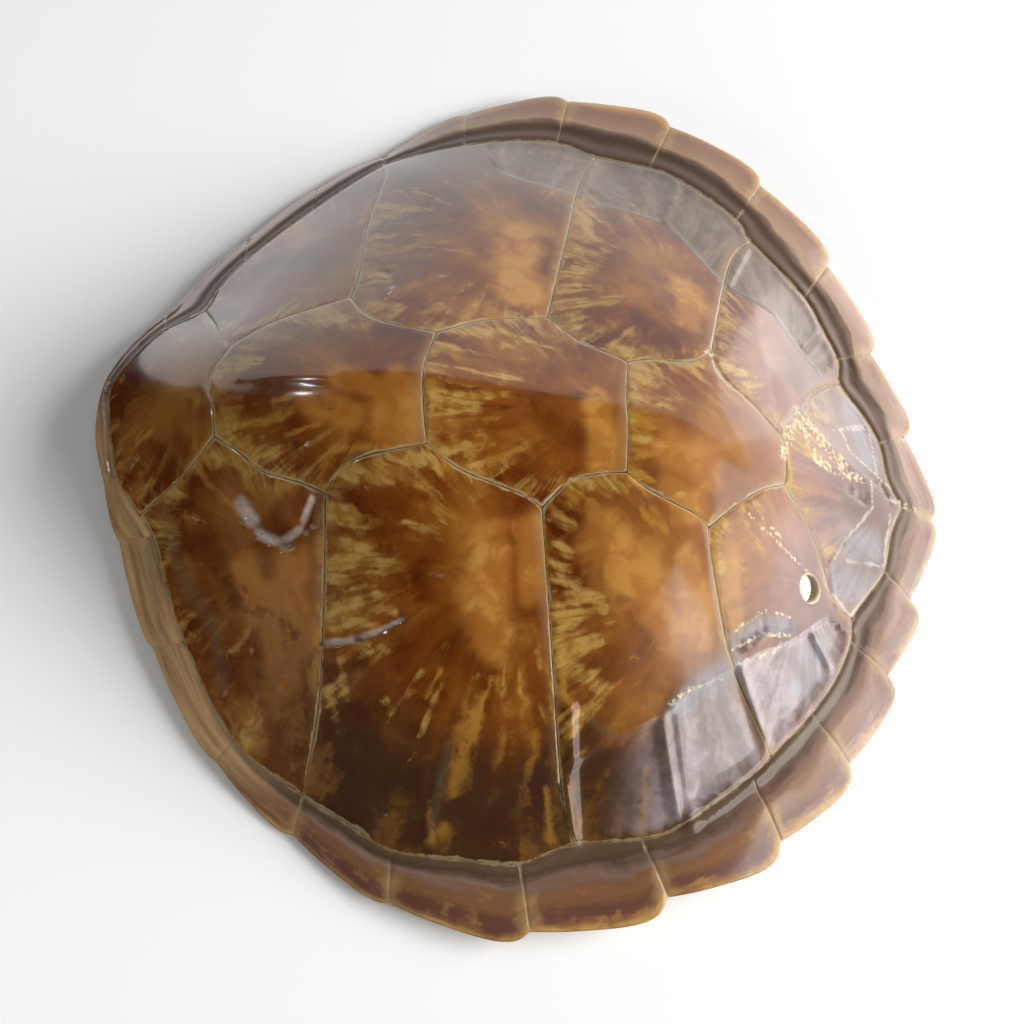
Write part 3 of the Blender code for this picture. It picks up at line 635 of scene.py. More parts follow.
# %% Scutes, growth centres and measurements
GROWTH = {   # where each scute began to grow: (x, y)
    "V1": (-151, 2), "V2": (-75, -6), "V3": (12, -2), "V4": (92, -3), "V5": (172, -2),
    "C1 near": (-112, -66), "C2 near": (-19, -64), "C3 near": (60, -70), "C4 near": (122, -50),
    "C1 far": (-100, 72), "C2 far": (-22, 86), "C3 far": (51, 69), "C4 far": (118, 50),
}
NUCHAL_GROWTH = (-190, 0)
MARGINAL_GROWTH = 0.35            # place of a marginal's centre, from its rear corner to the gutter
FIRST_COSTAL, FIRST_MARGINAL = 5, 20


def crossing(line, at):
    """x of a line that runs across the shell, at some y."""
    k = np.array(line, float)[:, :2]
    order = np.argsort(k[:, 1])
    return np.interp(at, k[order, 1], k[order, 0])


def scute_of(x, y):
    """Number of each point's scute: 0 to 4 vertebral, 5 to 12 costal, and marginals above that."""
    number = np.zeros(len(x), int)
    for where, bends in CROSS_SEAMS:
        number += x > crossing(smooth_line([where[NEAR], *bends, where[FAR]], COARSE), y)
    costal, marginal = np.zeros((2, len(x)), int)
    for side, first in ((NEAR, FIRST_COSTAL), (FAR, FIRST_COSTAL + 4)):
        here = (y < 0) == (side == NEAR)
        beyond = [x > crossing(line, y) for line in roof_seams(side, COARSE)[1]]
        costal = np.where(here, first + sum(beyond), costal)
        order = np.full(len(x), FIRST_MARGINAL * (1 + side))
        for k, place in enumerate(MARGINAL_AT[side][:-1]):
            a, b = np.array(GUTTER[side][place][:2], float), np.array(RIM[side][k][:2], float)
            turn = (b[0] - a[0]) * (y - a[1]) - (b[1] - a[1]) * (x - a[0])
            order += (turn > 0) if side == NEAR else (turn < 0)
        marginal = np.where(here, order, marginal)
    return np.where(inside(gutter_loop, x, y), np.where(inside(middle, x, y), number, costal), marginal)


centre = points[faces].mean(axis=1)
scute = scute_of(centre[:, 0], centre[:, 1])
grown_from = np.zeros((3 * FIRST_MARGINAL, 2))
grown_from[:len(GROWTH)] = list(GROWTH.values())
for side in SIDES:
    first = FIRST_MARGINAL * (1 + side)
    grown_from[first] = NUCHAL_GROWTH
    for k in range(1, len(RIM[side])):
        corner, inner = np.array(RIM[side][k][:2], float), np.array(GUTTER[side][MARGINAL_AT[side][k]][:2])
        grown_from[first + k] = corner + MARGINAL_GROWTH * (inner - corner)
chance = np.random.default_rng(7).random(3 * FIRST_MARGINAL)
print("scutes found:", len(set(scute[: len(outer_faces)])))

# %% [markdown]
# ## Marks that belong to this one shell
# Streaks can be spread by noise, but the eye knows a shell by its large marks: the honey patch
# where each scute began, the pale and dark fans in front of it, old dents and scars. Each is a
# short stroke on the plan with a width, and a point's mark is how close it lies to a stroke.
# The strokes are written as x y x y, and further x y where a stroke bends; commas part them.

# %% Strokes of colour and of relief
STROKES = {   # for each mark, half width: strokes over the plan, as x y x y
    "pale": {
        0.9: "-4 63 14 66, -5 58 14 64",
        1.1: "-59 7 -39 6 -9 6, -31 30 -3 24, -87 80 -67 77 -41 74, -93 52 -78 54, 35 28 59 31",
        1.3: "-53 -13 -37 -10, -55 17 -31 15 -18 17, 13 57 32 64, 13 26 25 28, 42 114 47 101, "
             "-72 124 -54 110, -87 33 -77 31, -57 57 -52 57, -162 63 -149 60, 87 61 98 64, 83 30 102 37",
        1.6: "-34 -4 -26 -2",
        1.8: "-48 -133 -41 -114, -74 -36 -68 -40, -53 -46 -47 -53, -63 -54 -54 -57, -52 -56 -47 -60, "
             "-92 25 -85 25, -56 -24 -50 -27, -39 -31 -35 -31, -5 39 2 41, 35 132 42 114, -85 125 -71 126, "
             "-85 113 -64 106, -92 58 -80 58, -97 30 -93 26, 25 20 37 15, 25 8 43 8, 46 -30 62 -29, "
             "54 -34 59 -35, 78 34 90 37, 71 36 75 36, 143 10 161 7, 119 -19 163 -6, 85 -36 95 -46, "
             "81 -76 86 -87",
        2.2: "133 -32 134 -38, -82 -91 -70 -92, -75 -125 -63 -120, -65 -133 -56 -122 -48 -109, "
             "-54 -146 -45 -136, -88 -36 -84 -38, 12 -64 18 -65, 21 -57 30 -63, 19 -76 24 -84, "
             "4 -31 11 -32, 15 -30 26 -32, 24 -111 28 -107, -45 -25 -41 -25, -29 22 -23 24, 6 53 19 56, "
             "-86 88 -68 86, -57 27 -51 26, -47 28 -35 28, 74 62 87 61, 107 14 118 28, 106 3 108 -13",
        2.6: "131 -32 141 -32",
        2.7: "-85 -62 -78 -66, -77 -85 -63 -87, -75 -106 -65 -102, 1 -57 5 -60, 9 -73 19 -76, "
             "19 -92 22 -92, 14 -128 24 -116, -137 -22 -133 -24, -108 31 -95 30, -141 10 -127 8, "
             "-54 -9 -40 -7, 3 75 13 77, -1 46 4 46, -91 98 -85 106, -84 38 -75 37, -164 59 -155 40, "
             "-150 37 -140 30, -112 38 -100 29, 30 -10 42 -12, 118 28 130 20 143 10, 69 -37 73 -59, "
             "88 -26 96 -37",
        3.1: "-75 -30 -55 -32, -125 -30 -117 -30, 0 85 16 88, 25 41 38 44, 24 30 43 35",
        3.6: "-91 -49 -80 -58, -87 -69 -63 -71, -86 -117 -80 -132, -2 -45 6 -50, 3 -68 9 -73, "
             "16 -138 25 -131, 9 117 11 97, 132 -31 140 -36",
        4: "115 30 140 36, -86 -78 -72 -80, -82 -110 -79 -126, 10 -102 22 -107",
        4.9: "6 -83 13 -94",
        6: "110 22 140 16",
        7: "112 20 136 4"},
    "amber": {
        1.1: "16 -43 34 -53, 25 -114 45 -89",
        1.3: "35 -98 46 -85, -113 -23 -96 -18, -120 -102 -119 -104, -105 -110 -107 -119, "
             "-125 -113 -130 -119, -107 -28 -95 -22, 5 123 -4 82, -47 -119 -42 -108",
        1.6: "56 -133 60 -147, 49 -139 51 -163",
        1.8: "-41 -157 -38 -173, 7 -150 12 -170, 33 -40 45 -46, -119 -10 -97 -7, "
             "-122 -93 -125 -101 -130 -102, -126 -19 -108 -14, -93 -29 -71 -27, -43 26 -31 29, "
             "31 -17 49 -15, 29 -24 44 -29, 85 -104 95 -119 104 -129, 5 -85 9 -115, -97 -51 -92 -98, "
             "-93 -98 -92 -113, -6 77 -8 58",
        2.2: "-196 -7 -185 -8, -181 -16 -174 -13, 74 -44 76 -85, -32 171 -28 153",
        2.7: "-153 -32 -144 -21, -144 -28 -141 -32",
        3: "88 -104 106 -130, -21 -110 -25 -124",
        3.1: "26 -1 35 -5",
        3.4: "-30 -144 -34 -168",
        3.5: "76 -60 85 -88",
        3.6: "-114 -41 -110 -41, -139 -19 -129 -27",
        4: "73 -47 76 -60, -165 5 -152 -5",
        4.4: "-25 -124 -30 -144"},
    "dark": {
        1.3: "17 -55 21 -59, -52 -3 -38 -1, -5 51 9 55",
        1.6: "-4 -55 0 -82, 22 32 40 44",
        1.8: "-90 -54 -85 -91, 9 -78 16 -79, -56 -10 -56 -11, -41 -9 -25 -7, 7 -112 8 -119, -26 168 -25 166",
        2.2: "-134 -1 -97 -5, -7 73 0 75",
        2.7: "6 38 22 38, -22 -1 12 5",
        3: "28 -75 38 -76",
        3.1: "-90 68 -58 65",
        3.6: "55 -151 58 -161, -189 -21 -178 -28, -33 -188 -7 -197, 13 -146 20 -153",
        4: "-87 -43 -65 -47, -109 -6 -96 -12, 43 -120 52 -135",
        5.3: "-70 -117 -48 -131, -174 -17 -160 -31",
        6.2: "-139 -67 -127 -83",
        7.1: "-127 -79 -104 -98",
        8: "-59 -101 -32 -96 -25 -118",
        8.9: "-17 -2 9 -15"},
    "grey": {
        1.3: "-90 -32 -58 -26",
        2.2: "-118 -107 -106 -119",
        2.6: "-36 -136 -39 -172",
        2.7: "22 -122 31 -127",
        3.6: "-117 25 -108 18",
        4: "-138 -92 -131 -116",
        4.5: "-164 -45 -158 -65",
        4.8: "-158 -65 -147 -82 -138 -92",
        6.2: "115 -86 133 -101",
        7.1: "149 -27 163 -50",
        8.9: "70 -109 97 -136"},
    "line": {
        0.7: "127 6 140 29 166 39",
        0.8: "147 -35 170 -33, 151 21 146 33 169 42, 166 39 168 11 172 5",
        0.9: "163 9 163 -5 157 -13 145 -26 132 -46, 175 -7 171 -25 171 -36 151 -60 133 -48, 151 21 177 8",
        1: "176 2 200 -4"},
    # painted highlights in the dents and the scratch on the near side of the front
    "glint": {
        1.1: "-70 -95 -60 -90",
        1.3: "-89 -99 -80 -98",
        1.5: "-80 -98 -70 -95, -103 -54 -100 -46",
        1.8: "-111 -61 -104 -57",
        2.2: "-121 -57 -114 -61",
        3.2: "-130 -46 -124 -53"},
    "steel": {
        5: "85 -84 98 -75 112 -72",
        7: "60 -114 84 -92",
        8: "155 46 163 22, 122 -98 131 -80",
        9: "144 -46 162 -46, 180 -28 188 -10",
        10: "150 -28 163 -25"},
    "crumb": {
        0.8: "100 -38 121 -46, 92 -31 104 -36",
        0.9: "84 -31 100 -38, 82 -88 96 -79 114 -76, 82 -80 97 -69 114 -68, 64 -106 79 -100",
        1: "84 -94 114 -80",
        1.3: "55 -113 64 -106, -81 61 -78 57, -79 41 -77 52",
        1.8: "63 40 67 40",
        2.4: "181 2 190 0",
        2.8: "104 2 110 16",
        3.2: "127 6 160 7",
        3.4: "117 24 127 8",
        4: "107 12 119 29",
        5.2: "118 28 143 12"},
    "honey": {
        4.4: "44 -13 49 -16",
        5: "76 -47 80 -66 86 -90",
        6: "-126 -70 -118 -88, -106 -10 -88 -16, -94 -1 -78 -5",
        7.6: "57 -56 60 -79, 12 3 14 -20",
        8: "-12 -52 -10 -76, 62 -66 66 -84, -134 114 -123 95",
        8.9: "-107 -69 -100 -98, 58 76 56 56",
        9: "-110 -82 -106 -112, 46 -28 58 -34",
        10: "36 -67 50 -84",
        10.7: "-72 -4 -70 -23",
        11.6: "-26 -66 -23 -95, -23 88 -22 56",
        12: "46 -14 60 -18",
        13: "17 -53 36 -67"},
}
SWELLS = (    # ridges and dents, which add up: x, y, to x, to y, half width, height
    (-129, -45, -121, -54, 4.6, -3.4), (-119, -57, -109, -61, 3.8, -3.2), (-107, -60, -100, -55, 3.6, -3),
    (-99, -52, -98, -45, 3, -2.2), (-126, -54, -116, -63, 2, 0.8), (-91, -99, -76, -96.5, 2, -2.2),
    (-76, -96.5, -61, -90, 2, -2), (-90, -103, -64, -97, 1.8, 0.6), (-134, 2, -97, -2, 2.2, 0.5),
    (-118, -2, -96, -5, 3, -0.25), (12, -118, 22, -170, 2.8, 1.5), (9, -116, 12, -118, 2.4, 1.3),
    (58, -112, 72, -160, 3.2, 1.3), (-31, -124, -40, -172, 3, 0.6), (-120, -106, -108, -117, 2, 0.7),
    (-108, -117, -90, -126, 2, 0.7), (107, 14, 118, 28, 2.6, 0.9), (118, 28, 161, 7, 2.6, 0.9),
    (-81, 61, -77, 50, 1.6, -0.9), (84, -84, 98, -75, 3.4, -1.6), (98, -75, 112, -72, 3, -1.4),
    (84, -31, 121, -46, 1.4, 0.4), (-110, -26, -98, -22, 2.5, -0.9), (148, -2, 158, -2, 3, -1.5),
    (168, 8, 176, 2, 3, -1.2), (136, -40, 142, -58, 1.2, 0.6), (142, -58, 152, -66, 1.2, 0.6),
    (152, -66, 166, -48, 1.2, 0.6), (136, -40, 146, -28, 1.2, 0.6), (146, -28, 166, -34, 1.2, 0.6),
)


def near_strokes(strokes, x, y):
    """How strongly some strokes mark each point, from 0 to 1: the strokes stand under half widths."""
    found = np.zeros(len(x))
    for width, written in strokes.items():
        lines = [np.array(line.split(), float).reshape(-1, 2) for line in written.split(",")]
        found = np.maximum(found, bell(distance_to(lines, x, y), width))
    return found


x, y = points[:, 0], points[:, 1]
known = {
    "gutter": measured[:, 0], "edge": measured[:, 1], "under": under_side,
    "seam": distance_to(thin_seams, x, y), "crease": distance_to(creases, x, y),
    "rib_end": distance_to(panel_ribs, x, y), "rib": distance_to(under_ribs, x, y),
    "marginal": ~inside(gutter_loop, x, y), "drilled": np.hypot(x - HOLE_AT[0], y - HOLE_AT[1]),
    "sunk": inside(panels[NEAR], x, y) | inside(panels[FAR], x, y),
    "swell": sum(high * bell(distance_to([[(x0, y0), (x1, y1)]], x, y), width)
                 for x0, y0, x1, y1, width, high in SWELLS),
    **{name: near_strokes(strokes, x, y) for name, strokes in STROKES.items()},
}
print(len(STROKES), "kinds of stroke; each point keeps", len(known), "measurements")

# %% The mesh with its measurements
mesh = bpy.data.meshes.new("carapace_plan")
mesh.from_pydata(((points + (*PLAN_TO_CENTRE, 0)) * MM).tolist(), [], faces.tolist())
for name, values in known.items():
    kept = mesh.attributes.new(name, "FLOAT", "POINT")
    kept.data.foreach_set("value", values.astype(np.float32))
corner_scute = np.repeat(scute, 3)
way = points[faces.ravel(), :2] - grown_from[corner_scute]
ray = np.column_stack([way, chance[corner_scute]])
kept = mesh.attributes.new("ray", "FLOAT_VECTOR", "CORNER")
kept.data.foreach_set("vector", ray.astype(np.float32).ravel())
shell = bpy.data.objects.new("horn_and_bone", mesh)
bpy.context.scene.collection.objects.link(shell)
print("mesh made with", len(mesh.polygons), "faces")

# %% [markdown]
# ## Node trees written as sums
# Both the relief and the finish are node trees. A tree is easier to read as sums than as boxes,
# so a small class wraps a socket: adding, multiplying or subtracting two of them adds a Math
# node. Colours go through a Mix node instead, because a Math node would turn them grey.

# %% Sockets that can be added and multiplied
class Wire:
    """A socket of a node tree on which Python's operators add Math nodes."""

    def __init__(self, bench, socket):
        self.bench, self.socket = bench, socket

    def ramp(self, start, end):
        """0 before start, 1 past end, and a soft change between; it falls where start is larger."""
        return self.bench.node("ShaderNodeMapRange", {"interpolation_type": "SMOOTHSTEP"},
                               {0: self, 1: start, 2: end, 3: 0.0, 4: 1.0})

    def bell(self, width):
        """1 at zero, falling to both sides."""
        return self.bench.math("EXPONENT", self.bench.math("POWER", self / width, 2.0) * -1.0)


def math_method(operation, swapped=False):
    def method(self, other):
        return self.bench.math(operation, *((other, self) if swapped else (self, other)))
    return method


for sign, operation in (("add", "ADD"), ("sub", "SUBTRACT"), ("mul", "MULTIPLY"),
                        ("truediv", "DIVIDE"), ("pow", "POWER")):
    setattr(Wire, f"__{sign}__", math_method(operation))
    setattr(Wire, f"__r{sign}__", math_method(operation, swapped=True))
Wire.least, Wire.most = math_method("MINIMUM"), math_method("MAXIMUM")


def shade(red, green, blue):
    """A colour given as it looks on a screen, 0 to 255."""
    return tuple((v / 255) ** 2.2 for v in (red, green, blue)) + (1.0,)


class Bench:
    """Adds nodes to one tree."""

    def __init__(self, tree):
        self.tree = tree

    def node(self, what, settings=None, sockets=None, out=0):
        """One node: its settings are made first, then its sockets are set or linked."""
        made = self.tree.nodes.new(what)
        for name, value in (settings or {}).items():
            setattr(made, name, value)
        for key, value in (sockets or {}).items():
            if isinstance(value, Wire):
                self.tree.links.new(value.socket, made.inputs[key])
            else:
                made.inputs[key].default_value = value
        return Wire(self, made.outputs[out]) if made.outputs else None

    def math(self, operation, *values):
        return self.node("ShaderNodeMath", {"operation": operation}, dict(enumerate(values)))

    def vector(self, operation, *values, out=0):
        return self.node("ShaderNodeVectorMath", {"operation": operation}, dict(enumerate(values)), out)

    def parts(self, whole):
        return [self.node("ShaderNodeSeparateXYZ", None, {0: whole}, out) for out in range(3)]

    def together(self, a, b, c):
        return self.node("ShaderNodeCombineXYZ", None, {0: a, 1: b, 2: c})

    def noise(self, where, scale, detail=2.0, roughness=0.5, warp=0.0):
        return self.node("ShaderNodeTexNoise", None,
                         {"Vector": where, "Scale": scale, "Detail": detail,
                          "Roughness": roughness, "Distortion": warp})

    def blend(self, first, second, amount):
        """One colour over another; each is a socket, or red, green and blue from 0 to 255."""
        below, above = (v if isinstance(v, Wire) else shade(*v) for v in (first, second))
        return self.node("ShaderNodeMix", {"data_type": "RGBA"}, {0: amount, 6: below, 7: above}, 2)

    def layers(self, colour, *above):
        """Colours laid over a first one, in turn, each by its own amount."""
        for laid, amount in above:
            colour = self.blend(colour, laid, amount)
        return colour

    def colours(self, along, *stops):
        """A colour that changes along a value; each stop is a place and a colour."""
        ramped = self.node("ShaderNodeValToRGB", None, {0: along})
        elements = ramped.socket.node.color_ramp.elements
        while len(elements) < len(stops):
            elements.new(0.5)
        for element, (place, colour) in zip(elements, stops):
            element.position = place
            element.color = shade(*colour)
        return ramped


print("sums on sockets are ready")

# %% [markdown]
# ## The relief, carved by Geometry Nodes
# Everything that rises or sinks on the dome follows a rule from a distance: the seams are
# grooves, the marginals have a valley beside the gutter and a crest outside it, the horn has
# sunk between the rear ribs, and the bone underneath has ribs and a row of vertebrae. One tree
# with named sizes does all of it, so each size can be tried out without touching the mesh.

# %% The relief tree
RELIEF = {   # sizes in millimetres; the valley's place and width are shares of a marginal
    "Seam Depth": 0.2, "Seam Width": 1.8, "Slot Depth": 0.3, "Slot Width": 0.5,
    "Gutter Depth": 0.7, "Gutter Width": 2.3, "Lip Height": 0.06, "Lip Place": 2.7,
    "Crest Height": 1.3, "Valley Depth": 1.5, "Valley Place": 0.22, "Valley Width": 0.12,
    "Panel Sink": 1.9, "Crease Width": 2.0, "Rib Height": 1.2, "Rib Width": 5.0,
    "Bone Rib": 2.6, "Bone Rib Width": 6.0, "Spine Height": 7.0, "Spine Width": 9.0,
    "Vertebra Pitch": 33.0, "Waviness": 0.5, "Wave Length": 34.0, "Crumple": 4.5,
}


def relief_tree():
    tree = bpy.data.node_groups.new("shell_relief", "GeometryNodeTree")
    tree.interface.new_socket("Geometry", in_out="OUTPUT", socket_type="NodeSocketGeometry")
    tree.interface.new_socket("Geometry", in_out="INPUT", socket_type="NodeSocketGeometry")
    for name in RELIEF:
        tree.interface.new_socket(name, in_out="INPUT", socket_type="NodeSocketFloat")
    tree.interface.new_socket("Finish", in_out="INPUT", socket_type="NodeSocketMaterial")
    bench = Bench(tree)
    asked = tree.nodes.new("NodeGroupInput")
    size = {name: Wire(bench, asked.outputs[name]) for name in RELIEF}

    def at(name):
        return bench.node("GeometryNodeInputNamedAttribute", {"data_type": "FLOAT"}, {"Name": name})

    place = bench.node("GeometryNodeInputPosition")
    x, y, z = (part * 1000 for part in bench.parts(place))
    gutter, seam = at("gutter"), at("seam")
    share = gutter / (gutter + at("edge") + 1e-6)
    crest = size["Crest Height"] * bench.math("SINE", share * math.pi).most(0.0)
    valley = size["Valley Depth"] * (1 - 0.45 * x.ramp(150.0, 175.0))
    valley = valley * (share - size["Valley Place"] - y.ramp(-20.0, 60.0) * 0.04).bell(size["Valley Width"])
    flare = at("marginal") * (crest - valley)
    rib = at("rib_end").bell(size["Rib Width"] / 2)
    fade = (at("crease") / size["Crease Width"]).least(1.0) * gutter.ramp(0.0, 9.0) * at("sunk")
    shallow = 1 - 0.7 * y.ramp(-10.0, 20.0)
    panel = fade * shallow * (size["Rib Height"] * rib - size["Panel Sink"] * (1 - rib))
    wave = size["Waviness"] * (bench.noise(place, 1000 / size["Wave Length"], 1.0) - 0.5)
    crumple = size["Crumple"] * at("swell").ramp(-0.15, -0.9) * (bench.noise(place, 190.0, 1.0) - 0.5)
    dents = (at("swell") + crumple) * (1 - at("under"))
    form = flare + panel + dents + wave * at("edge").ramp(0.0, 12.0)

    groove = size["Seam Depth"] * (1 - seam / size["Seam Width"]).most(0.0) ** 1.6
    slot = size["Slot Depth"] * (1 - seam / size["Slot Width"]).most(0.0)
    deep = size["Gutter Depth"] * (1 - gutter / size["Gutter Width"]).most(0.0)
    lip = (seam - size["Lip Place"]).bell(1.0) + (gutter - size["Lip Place"] - 0.2).bell(1.2)
    outer = (size["Lip Height"] * lip - (groove + slot).most(deep)) * (1 - at("under"))

    bone_rib = size["Bone Rib"] * at("rib").bell(size["Bone Rib Width"]) * gutter.ramp(0.0, 12.0)
    beads = 1 + 0.22 * bench.math("COSINE", x / size["Vertebra Pitch"] * (2 * math.pi))
    along = x.ramp(-180.0, -150.0) * (1 - x.ramp(140.0, 170.0))
    keel = y - PLAN_TO_CENTRE[1]
    spine = size["Spine Height"] * beads * along * keel.bell(size["Spine Width"])
    under = bone_rib.most(spine) * at("under").ramp(0.9, 1.0)

    high = (z + form + outer - under).most(0.0)
    moved = bench.together(0.0, 0.0, (high - z) * MM)
    shaped = bench.node("GeometryNodeSetPosition", None,
                        {"Geometry": Wire(bench, asked.outputs["Geometry"]), "Offset": moved})
    smooth = bench.node("GeometryNodeSetShadeSmooth", None, {0: shaped})
    solid = bench.node("GeometryNodeRealizeInstances", None, {0: smooth})
    done = bench.node("GeometryNodeSetMaterial", None,
                      {"Geometry": solid, "Material": Wire(bench, asked.outputs["Finish"])})
    end = tree.nodes.new("NodeGroupOutput")
    tree.links.new(done.socket, end.inputs["Geometry"])
    print("relief tree of", len(tree.nodes), "nodes")
    return tree


# %% [markdown]
# ## Varnished horn
# The colour of horn lies in it, not on it: translucent amber with dark and pale streaks that
# grew outward with the scute. So the pattern is read along each scute's own rays: noise that is
# placed by a ray's direction, and only slowly by its length, comes out as streaks.

# %% Patterns in the horn
finish = bpy.data.materials.new("varnished_horn_and_bone")
finish.use_nodes = True
finish.node_tree.nodes.clear()
bench = Bench(finish.node_tree)


def at(name, out=2):
    return bench.node("ShaderNodeAttribute", {"attribute_name": name}, None, out)


place = bench.node("ShaderNodeTexCoord", None, None, 3)
px, py, _ = bench.parts(place)
rx, ry, luck = bench.parts(at("ray", 1))
flat = bench.together(rx, ry, 0.0)
radius = bench.vector("LENGTH", flat, out=1)
hx, hy, _ = bench.parts(bench.vector("NORMALIZE", flat))
wander = bench.noise(place, 20.0, 2.0) - 0.5
ragged = bench.noise(place, 170.0, 3.0, 0.6) - 0.5
cloud = bench.noise(place, 34.0, 2.0, 0.5)
mottle = bench.noise(place, 95.0, 5.0, 0.62, 0.6)
grit = bench.noise(place, 430.0, 2.0, 0.6) - 0.5
haze, speck = cloud - 0.5, mottle - 0.5
seam, gutter, edge, marginal = at("seam"), at("gutter"), at("edge"), at("marginal")
share = gutter / (gutter + edge + 0.01)            # 0 at the gutter, 1 at the rim


def streaks(fineness, length, detail, bend, fray):
    """Noise drawn out along the rays of each scute."""
    turn = wander * bend + ragged * fray
    where = bench.together(hx * fineness + turn, hy * fineness + turn, radius / length + luck * 37)
    return bench.noise(where, 1.0, detail, 0.55)


broad = streaks(3.0, 80.0, 2.0, 2.2, 0.3)
fine = streaks(9.0, 44.0, 3.0, 3.0, 1.0)
hair = streaks(30.0, 30.0, 3.0, 5.0, 1.5)
blotch = streaks(9.0, 24.0, 2.0, 3.2, 0.9)
band = bench.noise(bench.together(share * 4.0, px * 22.0, py * 22.0 + luck * 9), 1.0, 4.0, 0.6)
torn = (blotch * 0.7 + mottle * 0.3 - 0.5) * 2.2
sway = band - 0.5
roof_only = 1 - marginal
far, tail = py.ramp(-0.01, 0.03), px.ramp(0.12, 0.17)
away = (radius + haze * 60 + speck * 24).ramp(14.0, 50.0) * radius.ramp(8.0, 36.0)
near_in = 1 - away
behind = hx.ramp(0.15, 0.75)
print("patterns of", len(finish.node_tree.nodes), "nodes")

# %% [markdown]
# The horn of the roof is built up like a painting. Over a brown ground lie the honey patch of
# each growth centre, dusk and amber streaks, the chalky horn that has sunk over the rear ribs,
# and the pale straw fans and scratches on top.

# %% Colours of the roof
ground = bench.colours(
    cloud * (0.3 + near_in * 0.3) + away * (broad * 0.3 + fine * 0.16 + hair * 0.04) + mottle * 0.2
    + near_in * 0.12,
    (0.37, (78, 34, 13)), (0.44, (100, 50, 18)), (0.52, (122, 70, 26)), (0.62, (148, 96, 40)))
glow = (at("honey") * 1.15 + haze * 0.9 + speck * 0.5).ramp(0.15, 0.95)
honey = bench.blend((160, 102, 44), (186, 134, 64), (mottle * 0.5 + cloud * 0.5).ramp(0.42, 0.58))
honey = bench.blend(honey, (166, 102, 38), px.ramp(-0.05, -0.09) * 0.6)
dusk = (at("dark") * (0.55 + torn * away + speck * 1.6) + away * (fine - 0.5) * 1.1 + haze * 0.7
        + speck * 0.7 - glow * 0.2).ramp(0.1, 0.9)
dusk_shade = bench.blend((78, 34, 15), (84, 52, 44), py.ramp(0.0, 0.05))
outer = (gutter - (1 - far) * 14 + (broad - 0.5) * 44 + speck * 12).ramp(50.0, 12.0) \
    * roof_only * px.ramp(-0.13, -0.07)
mauve = px.ramp(0.075, 0.12) * (0.6 + haze * 1.2 + (fine - 0.5) * away * 1.6) * roof_only
shore = (1 - seam / 26).most(0.0) * (1 - behind)
amber_stroke = at("amber")
amber = fine * 0.4 + blotch * 0.3 + mottle * 0.3 + shore * 0.1 + amber_stroke * (0.14 + torn * 0.15) \
    - glow * 0.15
chalky = at("sunk") * far.most(px.ramp(0.03, 0.07)) * (gutter + speck * 10).ramp(0.0, 6.0)
satin = bench.blend(bench.blend((140, 124, 118), (84, 70, 58), far),
                    bench.blend((184, 172, 176), (126, 110, 96), far),
                    (fine * 0.6 + mottle * 0.4).ramp(0.38, 0.62))
fold = (at("crease") + ragged * 1.5).ramp(1.3, 0.3) * roof_only
steel = (at("steel") * (0.8 + torn * 0.6)).ramp(0.1, 0.8)
steel_shade = bench.blend((116, 116, 120), (154, 160, 170), (fine - 0.5) * 2 + 0.5)
pale = (blotch * 0.55 + hair * 0.25 + mottle * 0.2 + shore * 0.15 + at("pale") * (0.22 + torn * 0.08)
        + ragged * 0.07 - glow * 0.2 - outer * 0.18).ramp(0.58, 0.78)
straw = bench.blend((146, 106, 46), (186, 150, 82), (hair * 0.5 + mottle * 0.5 + ragged * 0.3).ramp(0.4, 0.6))
drawn = (at("line") * 0.9 + speck * 1.3 + ragged * 0.8).ramp(0.25, 0.75)
smoke = (at("grey") * (0.7 + torn * 0.5)).ramp(0.1, 1.0)
horn = bench.layers(
    ground,
    (honey, glow * 0.85),
    (dusk_shade, dusk * (0.75 - px.ramp(0.0, 0.05) * 0.25)),
    ((172, 120, 70), px.ramp(0.0, 0.06) * (1 - far) * 0.34),
    (bench.blend((60, 44, 32), (100, 78, 62), far), outer * 0.85),
    ((156, 122, 120), mauve.most(0.0) * 0.7),
    ((164, 116, 50), amber.ramp(0.53, 0.68) * (away + amber_stroke).least(1.0)
     * (0.6 - outer * 0.3 + amber_stroke * 0.3)),
    (satin, chalky * 0.72),
    ((66, 48, 36), fold * far * 0.7),
    (steel_shade, steel * 0.6),
    (straw, pale * away * 0.76),
    ((208, 200, 186), drawn * 0.52),
    ((104, 92, 68), smoke * 0.5))
print("roof finished with", len(finish.node_tree.nodes), "nodes")

# %% [markdown]
# A marginal is banded from the gutter to its rim: a dull hollow, a brown crest and a worn,
# yellow edge. On the far ones the hollow is darkened as painted shade and a pale band on the
# crest is a painted highlight; the hollows of the far and tail marginals get more painted shade.
# Along every seam lie a pale rind, a dark thread in its bottom and, on one side, a strip of young
# horn. Crumbs of old chalk are on top, and pale painted highlights lie in the dents and the
# scratch on the near side of the front.

# %% Colours of the marginals, the seams, the wear, painted shade and painted highlights
bands = bench.colours(
    share + sway * 0.44 + speck * 0.2,
    (0.0, (102, 82, 64)), (0.2, (86, 66, 52)), (0.34, (128, 102, 88)), (0.44, (122, 88, 64)),
    (0.58, (130, 90, 60)), (0.74, (104, 70, 54)), (0.86, (108, 70, 60)), (0.94, (152, 110, 66)),
    (1.0, (188, 148, 88)))
